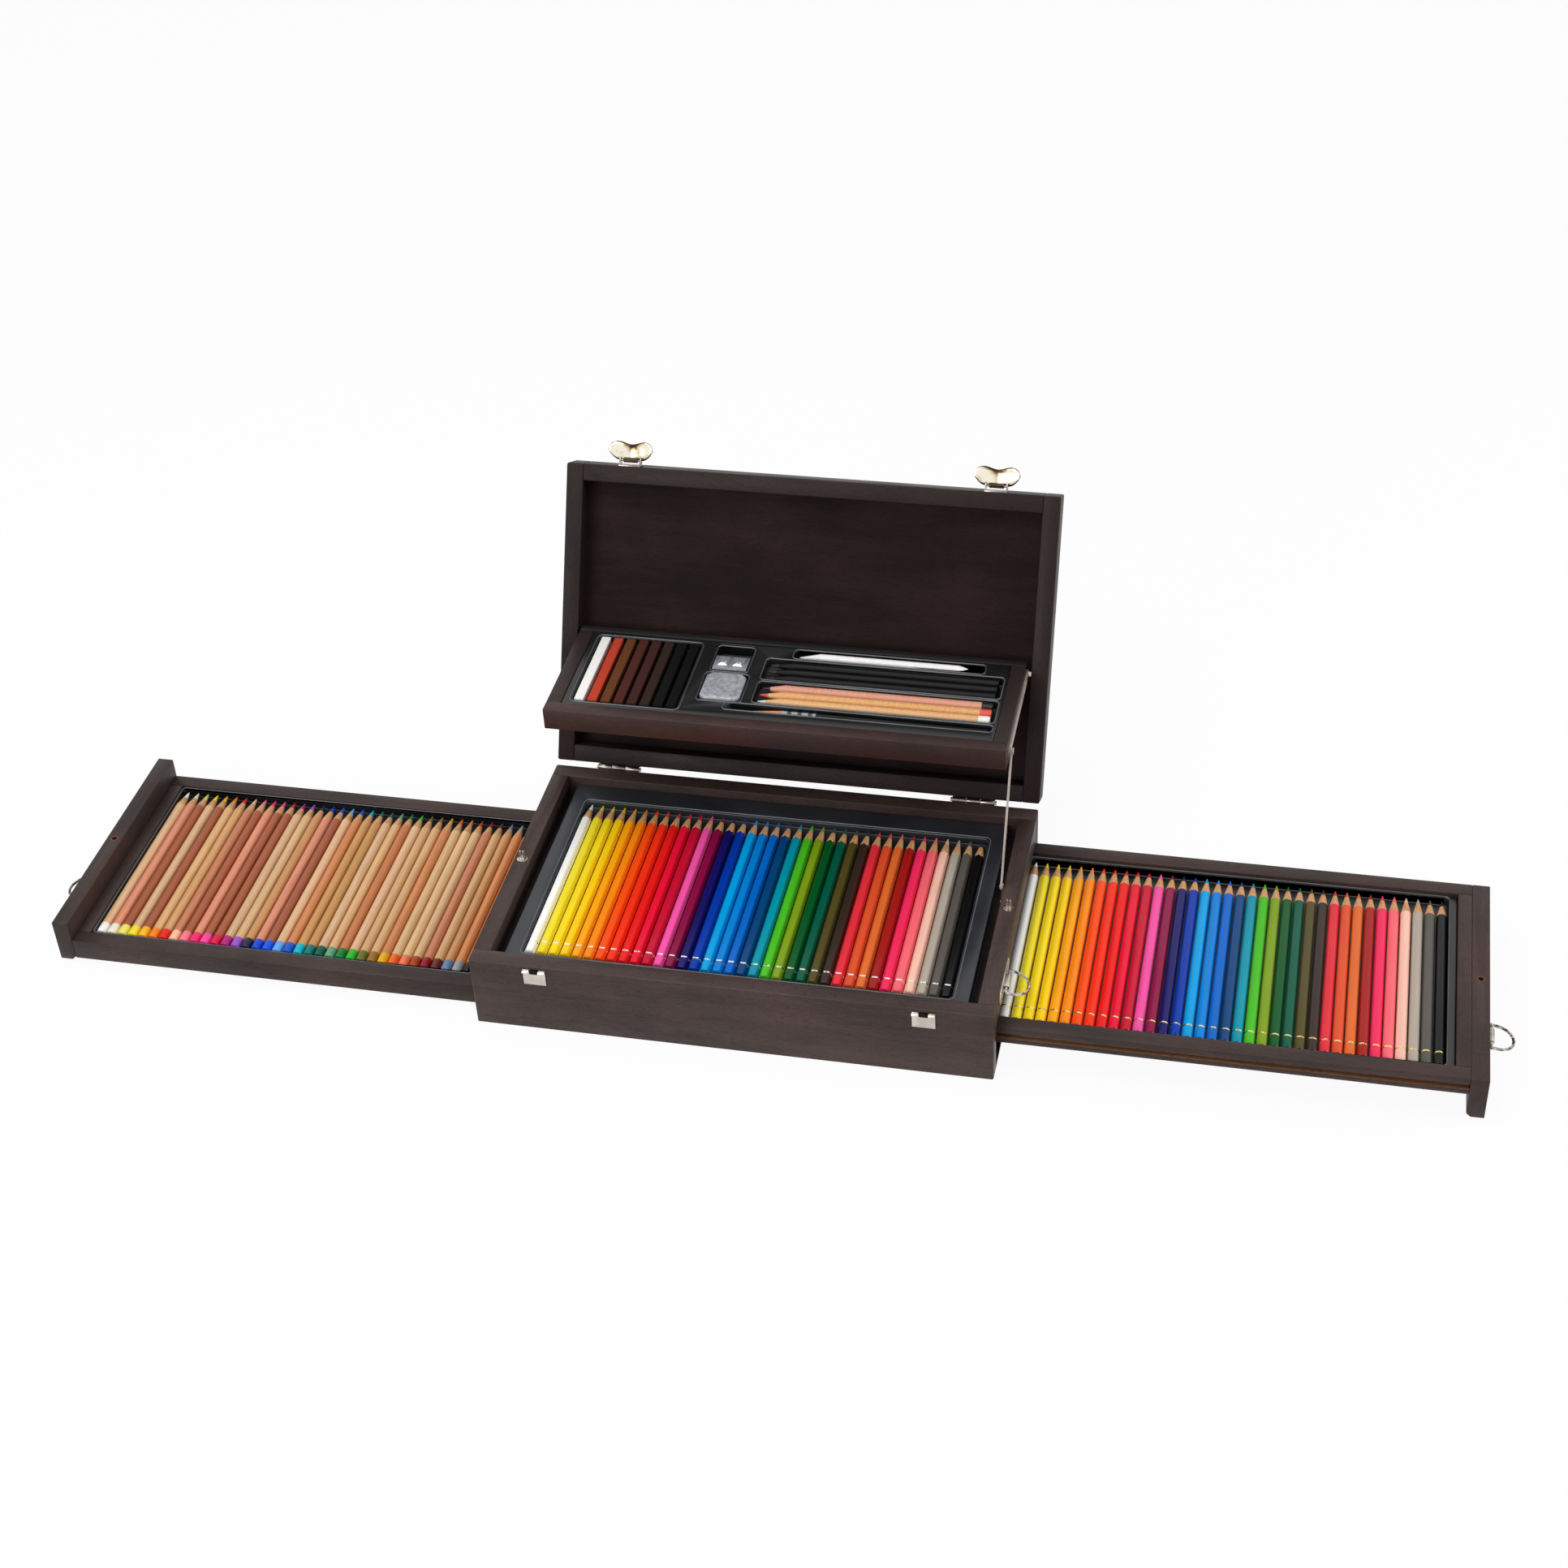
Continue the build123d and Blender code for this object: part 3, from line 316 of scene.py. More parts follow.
def turned_pencil(sides, radius, flats, stations):
    """A pencil along +Y from its butt; a station is (length, share of the radius, material, scallop).
    With flats, every second point of the ring is drawn in by that share."""
    work = bmesh.new()
    bmesh.ops.create_circle(work, cap_ends=True, segments=sides, radius=radius)
    bmesh.ops.rotate(work, verts=work.verts, cent=(0, 0, 0), matrix=Matrix.Rotation(quarter, 3, "X"))
    if flats:
        middles = [vert for vert in work.verts if not is_corner(vert)]
        bmesh.ops.scale(work, verts=middles, vec=(flats, 1, flats))
    y, share, finish, drop = stations[0]
    bmesh.ops.scale(work, verts=work.verts, vec=(share, 1, share))
    for face in work.faces:
        face.material_index = finish
    edges = list(work.edges)
    for new_y, new_share, finish, notch in stations[1:]:
        out = bmesh.ops.extrude_edge_only(work, edges=edges)["geom"]
        points = [item for item in out if isinstance(item, bmesh.types.BMVert)]
        edges = [item for item in out if isinstance(item, bmesh.types.BMEdge)
                 and all(v in points for v in item.verts)]
        for item in out:
            if isinstance(item, bmesh.types.BMFace):
                item.material_index = finish
        bmesh.ops.translate(work, verts=points, vec=(0, new_y - y, 0))
        grow = new_share / share
        bmesh.ops.scale(work, verts=points, vec=(grow, 1, grow))
        if notch != drop and flats:
            corners = [vert for vert in points if is_corner(vert)]
            bmesh.ops.translate(work, verts=corners, vec=(0, drop - notch, 0))
        y, share, drop = new_y, new_share, notch
    for face in bmesh.ops.edgeloop_fill(work, edges=edges)["faces"]:
        face.material_index = finish
    bmesh.ops.recalc_face_normals(work, faces=work.faces)
    mesh = bpy.data.meshes.new("pencil_pattern")
    work.to_mesh(mesh)
    work.free()
    return mesh


def tinted(tree, layer, pattern, reach, darkest, palest):
    """The colour of a mesh layer, times a share that goes from darkest to palest over the pattern."""
    own = add(tree, "ShaderNodeAttribute", attribute_name=layer)
    share = add(tree, "ShaderNodeMapRange", {
        "Value": (pattern, 0), "From Min": reach[0], "From Max": reach[1], "To Min": darkest,
        "To Max": palest})
    return add(tree, "ShaderNodeVectorMath", {0: (own, 0), 1: (share, 0)}, operation="MULTIPLY"), 0


def lacquer(name):
    """Nitro lacquer over cedar: several dipped coats, glossy, with a faint waviness along the pencil."""
    made, tree, shader = finish_of(name, 0.34, Specular_IOR_Level=0.2, Coat_Weight=0.07, Coat_Roughness=0.05)
    cloud = add(tree, "ShaderNodeTexNoise", {"Vector": along(tree, grain_y, (40, 4, 4)), "Scale": 1.0})
    feed(tree, tinted(tree, "paint", cloud, (0.3, 0.7), 0.93, 1.04), shader, "Base Color")
    wave = add(tree, "ShaderNodeBump", {"Height": (cloud, 0), "Strength": 0.1, "Distance": 0.2 * MM})
    feed(tree, (wave, 0), shader, "Normal")
    return made


def cedar(name, rough, shades=None):
    """Incense cedar: straight fine grain 0.6 mm wide along the pencil, with a matt cut surface. Without
    shades, the grain streaks each pencil's own tone."""
    made, tree, shader = finish_of(name, rough)
    grain = add(tree, "ShaderNodeTexNoise", {
        "Vector": along(tree, grain_y, (30, 0.6, 0.6)), "Scale": 1.0, "Detail": 3.0, "Roughness": 0.6})
    if shades:
        colour = ramp(tree, (grain, 0), ((0.35, shades[0]), (0.65, shades[1])))
    else:
        colour = tinted(tree, "tone", grain, (0.3, 0.7), 0.74, 1.14)
    feed(tree, colour, shader, "Base Color")
    bump = add(tree, "ShaderNodeBump", {"Height": (grain, 0), "Strength": 0.25, "Distance": 0.1 * MM})
    feed(tree, (bump, 0), shader, "Normal")
    return made


def lead(name):
    """Pigment lead: pressed colour and wax, matt with a fine grain."""
    made, tree, shader = finish_of(name, 0.62)
    speck = add(tree, "ShaderNodeTexNoise", {"Vector": along(tree, grain_y, (0.6, 0.6, 0.6)), "Scale": 1.0})
    feed(tree, tinted(tree, "paint", speck, (0.0, 1.0), 0.75, 1.1), shader, "Base Color")
    return made


def mottled(name, rough, size, stops, turn=grain_x, detail=2.0, **sockets):
    """A finish whose colour drifts between the stops, in spots of the given size in mm."""
    made, tree, shader = finish_of(name, rough, **sockets)
    spots = add(tree, "ShaderNodeTexNoise", {
        "Vector": along(tree, turn, size), "Scale": 1.0, "Detail": detail})
    feed(tree, ramp(tree, (spots, 0), stops), shader, "Base Color")
    return made


def foil(name, worn, bright, rough):
    """Hot-stamped metal foil, a little broken where it goes over the wood."""
    return mottled(name, rough, (1.3, 1.3, 1.3), ((0.36, worn), (0.42, bright)), metallic=1.0)


def lay_row(name, pattern, colours, tones, first, pitch, height, start, materials, body, node, turn=None):
    """Copies one pencil along a row, giving each copy its paint and its tone of wood."""
    work = bmesh.new()
    paint = work.verts.layers.float_color.new("paint")
    tone = work.verts.layers.float_color.new("tone")
    for i, colour in enumerate(colours):
        before = len(work.verts)
        work.from_mesh(pattern)
        work.verts.ensure_lookup_table()
        fresh = work.verts[before:]
        if turn:
            bmesh.ops.rotate(work, verts=fresh, cent=(0, 0, 0), matrix=Matrix.Rotation(turn, 3, "Z"))
            bmesh.ops.translate(work, verts=fresh, vec=(start, first + i * pitch, height))
        else:
            bmesh.ops.translate(work, verts=fresh, vec=(first + i * pitch, start, height))
        for vert in fresh:
            vert[paint] = linear(colour)
            vert[tone] = tones[i % len(tones)]
    row = place(name, work, materials, body, keep_sharp=28)
    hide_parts(node)
    return row


def row_place(node, radius, count):
    """First axis, pitch, height and start of a row of pencils, read from its CAD node."""
    low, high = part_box(node)
    pitch = (high[0] - low[0] - 2 * radius) / (count - 1)
    return low[0] + radius, pitch, (low[2] + high[2]) / 2, low[1]


plain_wood = [(1, 1, 1, 1)]
paint_lacquer = lacquer("nitro_lacquer_coloured")
cedar_cut = cedar("cedar_sharpened", 0.6, ("b98250", "d9a878"))
lead_colour = lead("pigment_lead")
foil_silver = foil("foil_silver_band", "66635f", "f6f4f0", 0.22)
lead_start = pencil_length - point_length * (lead_radius - core_radius) / (hex_flat - core_radius)
hex_pencil = turned_pencil(12, hex_corner * MM, hex_flat / hex_corner, (
    (0.0, 0.55, coloured, 0), (0.35 * MM, 0.80, coloured, 0), (1.0 * MM, 0.95, coloured, 0),
    (2.2 * MM, 1.0, coloured, 0), (10.2 * MM, 1.0, coloured, 0), (10.9 * MM, 1.006, band, 0),
    (11.6 * MM, 1.0, band, 0), (point_start, 0.985, coloured, scallop),
    (lead_start, lead_radius / hex_corner, cut, 0), (pencil_tip, tip_radius / hex_corner, pigment, 0)))
first, pitch, height, start = row_place("well_pencils", hex_outside * MM, len(artist_colours))
lay_row("well_pencils_lacquered", hex_pencil, artist_colours, plain_wood, first, pitch, height, start,
        [paint_lacquer, cedar_cut, lead_colour, foil_silver], "case", "well_pencils")

# ------------------------------------------------------------------------------------------------
# Hardware of the case. Strikers, hinge leaves and pins, pin collars, ring plate and the bracket of
# the stay link are pressed from thin steel and nickel-plated: bright and slightly warm. Each
# locking pin is a turned stud that ends in two prongs.
metal_edge = 0.16 * MM
striker_half = 8.25 * MM
striker_slot, slot_y, slot_below = (6.6 * MM, 0.3 * MM, 3.6 * MM), -117.6 * MM, 1.9 * MM
pin_radius, pin_shoulder = 1.9 * MM, 60 * MM
prong_radii, prong_aside, prong_root = (0.95 * MM, 0.7 * MM), 1.15 * MM, 59 * MM


def nickel(name, stops, rough, roll_size, relief=0.03 * MM):
    """Nickel plate: the polish rolls softly over some mm, and the colour drifts with it between the stops; the
    darker patches are painted reflections.
    """
    made, tree, shader = finish_of(name, rough, metallic=1.0)
    roll = add(tree, "ShaderNodeTexNoise", {
        "Vector": along(tree, grain_x, (roll_size,) * 3), "Scale": 1.0, "Detail": 1.0, "Roughness": 0.5})
    feed(tree, ramp(tree, (roll, 0), stops), shader, "Base Color")
    gloss = add(tree, "ShaderNodeMapRange", {
        "Value": (roll, 0), "From Min": 0.3, "From Max": 0.7, "To Min": rough + 0.08, "To Max": rough - 0.06})
    feed(tree, (gloss, 0), shader, "Roughness")
    bump = add(tree, "ShaderNodeBump", {"Height": (roll, 0), "Strength": 0.3, "Distance": relief})
    feed(tree, (bump, 0), shader, "Normal")
    return made


def block(work, size, centre):
    """Adds a rectangular block to a bmesh."""
    points = bmesh.ops.create_cube(work, size=1)["verts"]
    bmesh.ops.scale(work, verts=points, vec=size)
    bmesh.ops.translate(work, verts=points, vec=centre)


def turning(work, segments, radii, depth, centre, tilt=0.0, axis="X"):
    """Adds a turned piece to a bmesh, upright or tilted about an axis."""
    points = bmesh.ops.create_cone(work, cap_ends=True, segments=segments, radius1=radii[0],
                                   radius2=radii[1], depth=depth)["verts"]
    bmesh.ops.rotate(work, verts=points, cent=(0, 0, 0), matrix=Matrix.Rotation(tilt, 3, axis))
    bmesh.ops.translate(work, verts=points, vec=centre)


# The darker stops, the wire's most of all, are painted reflections of a dark room in the plating.
nickel_plate = nickel("nickel_plated_steel", ((0.32, "a19990"), (0.66, "cfc8bf")), 0.24, 14, 0.01 * MM)
nickel_wire = nickel("nickel_plated_wire", ((0.38, "544c46"), (0.60, "c9c2b9")), 0.14, 4)
nickel_hinge = nickel("nickel_plated_hinge", ((0.34, "6f6760"), (0.66, "9d958d")), 0.26, 12, 0.01 * MM)
nickel_pale = nickel("nickel_satin_striker", ((0.34, "c4bbb2"), (0.62, "ded6cd")), 0.36, 14)
eased("case_ring_plate", metal_edge, nickel_plate)
eased("hinge_leaves_case", metal_edge, nickel_hinge)
eased("strikers", metal_edge, nickel_pale)
low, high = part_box("strikers")
notch_painted_shade = mottled("striker_notch_painted_shade", 0.6, (1.5, 1.5, 1.5), ((0.3, "0b0908"), (0.7, "1a1513")),
                       Specular_IOR_Level=0.1)
# The notch that the lever hooks into lies in its own shade; a near-black block is set in it as painted shade.
work = bmesh.new()
for middle in (low[0] + striker_half, high[0] - striker_half):
    block(work, striker_slot, (middle, slot_y, high[2] - slot_below))
place("striker_slots", work, [notch_painted_shade], "case")
for node in ("hinge_pins", "link_bracket", "pin_collars"):
    dress(node, nickel_wire)
for side in ("left", "right"):
    low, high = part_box("lock_pin_" + side)
    middle = (low[0] + high[0]) / 2
    work = bmesh.new()
    turning(work, 20, (pin_radius, pin_radius), pin_shoulder - low[2],
            (middle, 0, (pin_shoulder + low[2]) / 2))
    for hand in (-1, 1):
        turning(work, 14, prong_radii, high[2] - prong_root,
                (middle + hand * prong_aside, 0, (high[2] + prong_root) / 2))
    stud = place("lock_pin_stud_" + side, work, [nickel_pale], "pin_" + side)
    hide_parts("lock_pin_" + side)
dress("case_ring", nickel_wire)

# ------------------------------------------------------------------------------------------------
# Lid. The end boards run the full depth and hold the long boards and a veneered panel between
# them. Its grain follows the open lid, so the pattern is turned with it.
lid_turn = (open_lid, 0.0, 0.0)
lid_long = stained_limba("limba_stained_lid_long_boards", lid_turn, ("2c2120", "1e1615", "0e0a0a"),
                         blush="2f1c1a", shine=0.16)
lid_short = stained_limba("limba_stained_lid_end_boards", (open_lid, 0.0, quarter),
                          ("281d1c", "1b1313", "0d0a0a"), blush="2c1a18", shine=0.16)
lid_veneer = stained_limba("limba_veneer_stained_lid_panel", lid_turn, ("231314", "160c0c", "080505"),
                           rough=0.6, blush="2e1516", shine=0.1)
eased("lid_front_board", arris, lid_long)
eased("lid_back_board", arris, lid_long)
eased("lid_end_boards", arris, lid_short)
dress("lid_panel", lid_veneer)
eased("hinge_leaves_lid", metal_edge, nickel_hinge)
eased("latch_bases", metal_edge, nickel_hinge)
dress("tray_pivot_screws", nickel_wire)

# ------------------------------------------------------------------------------------------------
# Latch levers. Each is pressed from one sheet into two dished wings that meet in a dip, with a
# rolled rim, and curled to a barrel round its pin. Polished before plating, so the dish mirrors the
# room; that mirroring is painted into its colour as a painted reflection: pale in the middle and
# brown towards the rim and in the dip between the wings.
latch_middle, latch_y, latch_z = 141.0 * MM, -120.70 * MM, 65.90 * MM
hinge_y, hinge_z = 118.90 * MM, 60.15 * MM
half_span, lobe_radius, lobe_x, lobe_y = 17.5 * MM, 6.9 * MM, 10.6 * MM, 7.5 * MM
neck_half, dip, bowl_rise = 8.0 * MM, 12.2 * MM, 2.2
wing_arch, wing_sheet = 42.0 * MM, 0.8 * MM
dish_depth, rim_roll, saddle = 1.2 * MM, 0.35 * MM, 0.42
barrel_radius, barrel_length = 1.6 * MM, 11 * MM


def wing_edges(x):
    """Where the wing begins and ends at a distance from its middle: a bowl below, two lobes above."""
    near = 0.0
    if x >= neck_half:
        near = lobe_y * ((x - neck_half) / (half_span - neck_half)) ** bowl_rise
    if x > lobe_x:
        far = lobe_y + math.sqrt(max(lobe_radius ** 2 - (x - lobe_x) ** 2, 0))
    else:
        far = dip + (lobe_y + lobe_radius - dip) * (0.5 - 0.5 * math.cos(math.pi * x / lobe_x))
    return near, far


def latch_wing(node, middle):
    """The lever raised, on a lid that is shut, then turned with the lid to its open place."""
    work = bmesh.new()
    bmesh.ops.create_grid(work, x_segments=44, y_segments=16, size=0.5)
    painted_reflection = work.verts.layers.float_color.new("painted_reflection")
    for vert in work.verts:
        across = math.sin(vert.co.x * math.pi) * half_span
        near, far = wing_edges(abs(across))
        part = 0.5 - 0.5 * math.cos((vert.co.y + 0.5) * math.pi)
        reach = near + (far - near) * part
        edge = max(1 - min(part, 1 - part) * 2, (abs(across) / half_span) ** 6)
        middle_part = max(0.0, 1 - abs(across) / (saddle * half_span))
        sink = dish_depth * (1 - edge ** 3) * (1 - 0.8 * middle_part) - rim_roll * edge ** 8
        # Darker at the rim and in the dip between the wings: painted reflection of a dark room.
        reflection_dark = min(1.0, 0.95 * edge ** 5 + 0.75 * middle_part ** 0.7 * part ** 1.2)
        vert[painted_reflection] = (reflection_dark, reflection_dark, reflection_dark, 1)
        arch = wing_arch - math.sqrt(wing_arch ** 2 - across ** 2)
        vert.co = Vector((across, -reach, barrel_radius - arch - sink))
    bmesh.ops.remove_doubles(work, verts=work.verts, dist=2e-5)
    bmesh.ops.recalc_face_normals(work, faces=work.faces)
    bmesh.ops.solidify(work, geom=work.faces[:], thickness=wing_sheet)
    turning(work, 20, (barrel_radius, barrel_radius), barrel_length, (0, 0, 0), tilt=quarter, axis="Y")
    bmesh.ops.translate(work, verts=work.verts, vec=(middle, latch_y, latch_z))
    bmesh.ops.rotate(work, verts=work.verts, cent=(0, hinge_y, hinge_z),
                     matrix=Matrix.Rotation(-open_lid, 3, "X"))
    wing = place(node + "_wing", work, [nickel_wing], node.replace("latch_lever", "latch"), keep_sharp=50)
    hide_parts(node)


# The wing's colour follows that layer, shifted by soft noise: a painted reflection, pale to brown.
nickel_wing, tree, shader = finish_of("nickel_polished_wing", 0.14, metallic=1.0)
reflection_dark = add(tree, "ShaderNodeAttribute", attribute_name="painted_reflection")
roll = add(tree, "ShaderNodeTexNoise", {"Vector": along(tree, lid_turn, (6, 6, 6)), "Scale": 1.0})
shift = add(tree, "ShaderNodeMapRange", {
    "Value": (roll, 0), "From Min": 0.3, "From Max": 0.7, "To Min": -0.22, "To Max": 0.22})
amount = add(tree, "ShaderNodeMath", {0: (reflection_dark, "Fac"), 1: (shift, 0)}, operation="ADD")
feed(tree, ramp(tree, (amount, 0), ((0.05, "f5eddb"), (0.30, "d9c8a6"), (0.55, "7f6a4e"), (0.85, "33281f"))),
     shader, "Base Color")
latch_wing("latch_lever_left", -latch_middle)
latch_wing("latch_lever_right", latch_middle)

# ------------------------------------------------------------------------------------------------
# Tray. Stained rails of the same wood, a thin veneered floor and a formed insert whose pockets
# hold each tool. The back rail is coloured nearly black and the end boards darker than the front
# rail: painted shade.
tray_wood = stained_limba("limba_stained_tray_rails", grain_x, ("3e2c29", "2a1d1b", "120d0d"), blush="44271f")
# The end boards are coloured darker than the rails of the same wood: painted shade.
tray_end_wood_painted_shade = stained_limba("limba_tray_end_boards_painted_shade", grain_y, ("332625", "221918", "0f0c0d"),
                                blush="36221f")
# Same wood as the rails, coloured nearly black: painted shade inside the lid's hollow.
tray_back_painted_shade = stained_limba("limba_tray_back_rail_painted_shade", grain_x, ("1d1b1c", "141314", "0b0b0b"))
back_rail_shade_from_y = 120 * MM
rails = eased("tray_long_rails", arris, tray_wood)
rails.data.materials.append(tray_back_painted_shade)
# Faces beyond this depth take the painted shade.
for face in rails.data.polygons:
    face.material_index = 1 if face.center.y > back_rail_shade_from_y else 0
eased("tray_end_boards", arris, tray_end_wood_painted_shade)
dress("tray_floor", wood_panel)
small_fold = 0.8 * MM
tray_sheet = formed_sheet("polystyrene_sheet_black_tray", ("090a0c", "101113"), 0.32)
# The beads are a paler grey than the sheet: a painted highlight along their crests.
tray_crest_painted_highlight = formed_sheet("polystyrene_sheet_tray_crest_painted_highlight", ("3e4145", "585c61"), 0.28)
eased("tray_insert", small_fold, tray_sheet, segments=3)
low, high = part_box("tray_insert")
tray_pockets = {
    "chalk": (-156.9, -76.8, 76.7, 160.3), "eraser": (-64.4, -31.4, 90.5, 125.5),
    "stump": (-3.3, 142.7, 152.7, 163.5), "sharpener": (-62.4, -34.4, 128.5, 160.5),
    "charcoal": (-22.3, 158.7, 122.7, 149.3), "pastel": (-22.3, 158.7, 92.7, 119.3),
    "brush": (-42.3, 158.7, 81.7, 89.3)}
for pocket_name, sizes in tray_pockets.items():
    spread = 2.6 * MM if pocket_name == "chalk" else 1.2 * MM
    bead("tray_bead_" + pocket_name, [size * MM for size in sizes], high[2], tray_crest_painted_highlight, "top_tray",
         gap=spread)

# ------------------------------------------------------------------------------------------------
# Chalk sticks. Eight square sticks of pressed pigment and clay, from white through red and brown
# to black, each a little rubbed on its edges.
stick_width, rubbed_edge, square_angle = 7 * MM, 0.5 * MM, 0.7
chalk_colours = "f3f1ed b8402a 63391f 4a2420 3d211d 2e2018 060606 040404".split()


def pressed_pigment(name):
    """Pressed chalk: dead matt, grainy at 0.6 mm, colour from the stick itself."""
    made, tree, shader = finish_of(name, 0.85, Specular_IOR_Level=0.12)
    speck = add(tree, "ShaderNodeTexNoise", {
        "Vector": along(tree, grain_y, (0.9, 0.6, 0.6)), "Scale": 1.0, "Detail": 4.0})
    feed(tree, tinted(tree, "paint", speck, (0.25, 0.75), 0.78, 1.15), shader, "Base Color")
    bump = add(tree, "ShaderNodeBump", {"Height": (speck, 0), "Strength": 0.4, "Distance": 0.2 * MM})
    feed(tree, (bump, 0), shader, "Normal")
    return made


work = merged("chalk_sticks")
round_off(work, [edge for edge in work.edges if edge.calc_face_angle(0) > square_angle], rubbed_edge, 2)
low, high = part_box("chalk_sticks")
last_stick = len(chalk_colours) - 1
stick_pitch = (high[0] - low[0] - stick_width) / last_stick
paint = work.verts.layers.float_color.new("paint")
for vert in work.verts:
    stick = int((vert.co.x - low[0] + 1.5 * MM) / stick_pitch)
    vert[paint] = linear(chalk_colours[min(last_stick, max(0, stick))])
chalk = place("chalk_sticks_rubbed", work, [pressed_pigment("chalk_pressed_pigment")], "top_tray",
              keep_sharp=60)
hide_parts("chalk_sticks")

# ------------------------------------------------------------------------------------------------
# Eraser. A grey kneadable eraser under the clear, glossy lid of its moulded box, with soft corners.
# The mottled putty shows through, and the gloss of the lid lies over it as a clear coat.
eraser_grey = mottled("kneadable_eraser_grey", 0.55, (3, 3, 3), ((0.35, "83868a"), (0.65, "a9acb0")),
                      detail=4.0, Coat_Weight=0.8, Coat_Roughness=0.05)
eased("eraser_case", 1.6 * MM, eraser_grey, segments=5)

# ------------------------------------------------------------------------------------------------
# Sharpener. A milled wedge of magnesium with two round mouths and two ground steel blades on
# slotted screws. It is matt grey; the cutter marks are drawn 0.5 mm apart, so that they show.
cast_magnesium = mottled("magnesium_milled", 0.55, (4, 0.5, 0.5), ((0.3, "7c7e82"), (0.7, "b2b4b8")),
                         turn=grain_y, metallic=1.0)
eased("sharpener", 0.2 * MM, cast_magnesium)
steel_blade = mottled("tool_steel_ground", 0.42, (0.4, 6, 6), ((0.3, "a4a8ac"), (0.7, "e2e5e8")),
                      metallic=1.0)
hole_inset = 7.2 * MM
blade_size, blade_up = (8.6 * MM, 13.0 * MM, 0.5 * MM), 0.1 * MM
mouth_radii, mouth_depth, mouth_tilt = (4.9 * MM, 4.4 * MM), 1.0 * MM, math.radians(38)
mouth_inset, mouth_down = 2.4 * MM, 1.4 * MM
head_radii, head_depth = (2.5 * MM, 2.1 * MM), 0.9 * MM
screw_slot, slot_up = (3.2 * MM, 0.6 * MM, 0.3 * MM), 0.95 * MM
low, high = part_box("sharpener")
middle_y, top = (low[1] + high[1]) / 2, high[2]
work = bmesh.new()
for middle in (low[0] + hole_inset, high[0] - hole_inset):
    block(work, blade_size, (middle, middle_y, top + blade_up))
    turning(work, 28, mouth_radii, mouth_depth, (middle, low[1] + mouth_inset, top - mouth_down),
            tilt=mouth_tilt)
    turning(work, 20, head_radii, head_depth, (middle, middle_y, top + head_depth / 2))
    block(work, screw_slot, (middle, middle_y, top + slot_up))
place("sharpener_screws", work, [steel_blade], "top_tray", keep_sharp=40)

# ------------------------------------------------------------------------------------------------
# Paper stump. Soft grey-white paper, rolled tight and glued, and cut to a point at each end. It is
# dead matt, with short fibres along the roll.
rolled_paper = mottled("paper_rolled", 0.8, (4, 0.8, 0.8), ((0.3, "e9e5e8"), (0.7, "faf8f9")), detail=4.0)
dress("paper_stump", rolled_paper)

# ------------------------------------------------------------------------------------------------
# Tray pencils. Three charcoal pencils in satin black lacquer and three pastel pencils of bare wood
# with dipped ends in white, coral and black.
charcoal_black = mottled("lacquer_black_satin", 0.4, (20, 2, 2), ((0.3, "040405"), (0.7, "0a0a0b")),
                         Specular_IOR_Level=0.14)
round_radius = 3.9
round_tray_pencil = turned_pencil(16, round_radius * MM, None, (
    (0.0, 0.62, coloured, 0), (0.4 * MM, 0.9, coloured, 0), (1.0 * MM, 1.0, coloured, 0),
    (8.6 * MM, 1.0, coloured, 0), (8.7 * MM, 0.99, band, 0), (point_start, 0.99, band, 0),
    (pencil_length - 6.5 * MM, 0.42, cut, 0), (pencil_tip, 0.12, pigment, 0)))
cedar_x = cedar("cedar_bare_tray", 0.5)
tray_rows = (
    ("charcoal_pencils", "charcoal_pencils_black", ["101010"] * 3, plain_wood,
     [charcoal_black, charcoal_black, lead_colour, charcoal_black]),
    ("pastel_pencils", "pastel_pencils_bare", ["eceae6", "dd5546", "161616"],
     [linear("e3ad74"), linear("e0a566"), linear("d9967c")],
     [paint_lacquer, cedar_x, lead_colour, cedar_x]))
for node, name, colours, tones, materials in tray_rows:
    low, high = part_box(node)
    pitch = (high[1] - low[1] - 2 * round_radius * MM) / 2
    lay_row(name, round_tray_pencil, colours, tones, low[1] + round_radius * MM, pitch,
            (low[2] + high[2]) / 2, high[0], materials, "top_tray", node, turn=quarter)

# ------------------------------------------------------------------------------------------------
# Brush. Black lacquered handle, a ferrule of grey metal tube crimped in rings, and orange-brown
# synthetic hair drawn to a point. The hair is drawn 0.3 mm thick, so that its strands show.
dress("brush_handle", charcoal_black)
tin, tree, shader = finish_of("nickel_tube_ferrule", 0.5, metallic=1.0)
turns = add(tree, "ShaderNodeTexWave", {
    "Vector": along(tree, grain_x, (4, 4, 4)), "Scale": 0.16, "Distortion": 0.0})
feed(tree, ramp(tree, (turns, 0), ((0.2, "3c3e41"), (0.5, "7c7f82"))), shader, "Base Color")
dress("brush_ferrule", tin)
hair = mottled("nylon_hair_orange", 0.45, (10, 0.3, 0.3), ((0.3, "b5541a"), (0.7, "f29d40")), detail=3.0)
dress("brush_bristles", hair)

# ------------------------------------------------------------------------------------------------
# Stay link and tray arm. Flat steel strip in a warm grey stoving enamel, riveted at the pivots. The
# enamel is an even satin that drifts a little in tone.
link_enamel = mottled("stoving_enamel_warm_grey", 0.34, (10, 10, 10), ((0.3, "a3978d"), (0.7, "b8aca1")))
dress("stay_link", link_enamel)
dress("tray_arm", link_enamel)

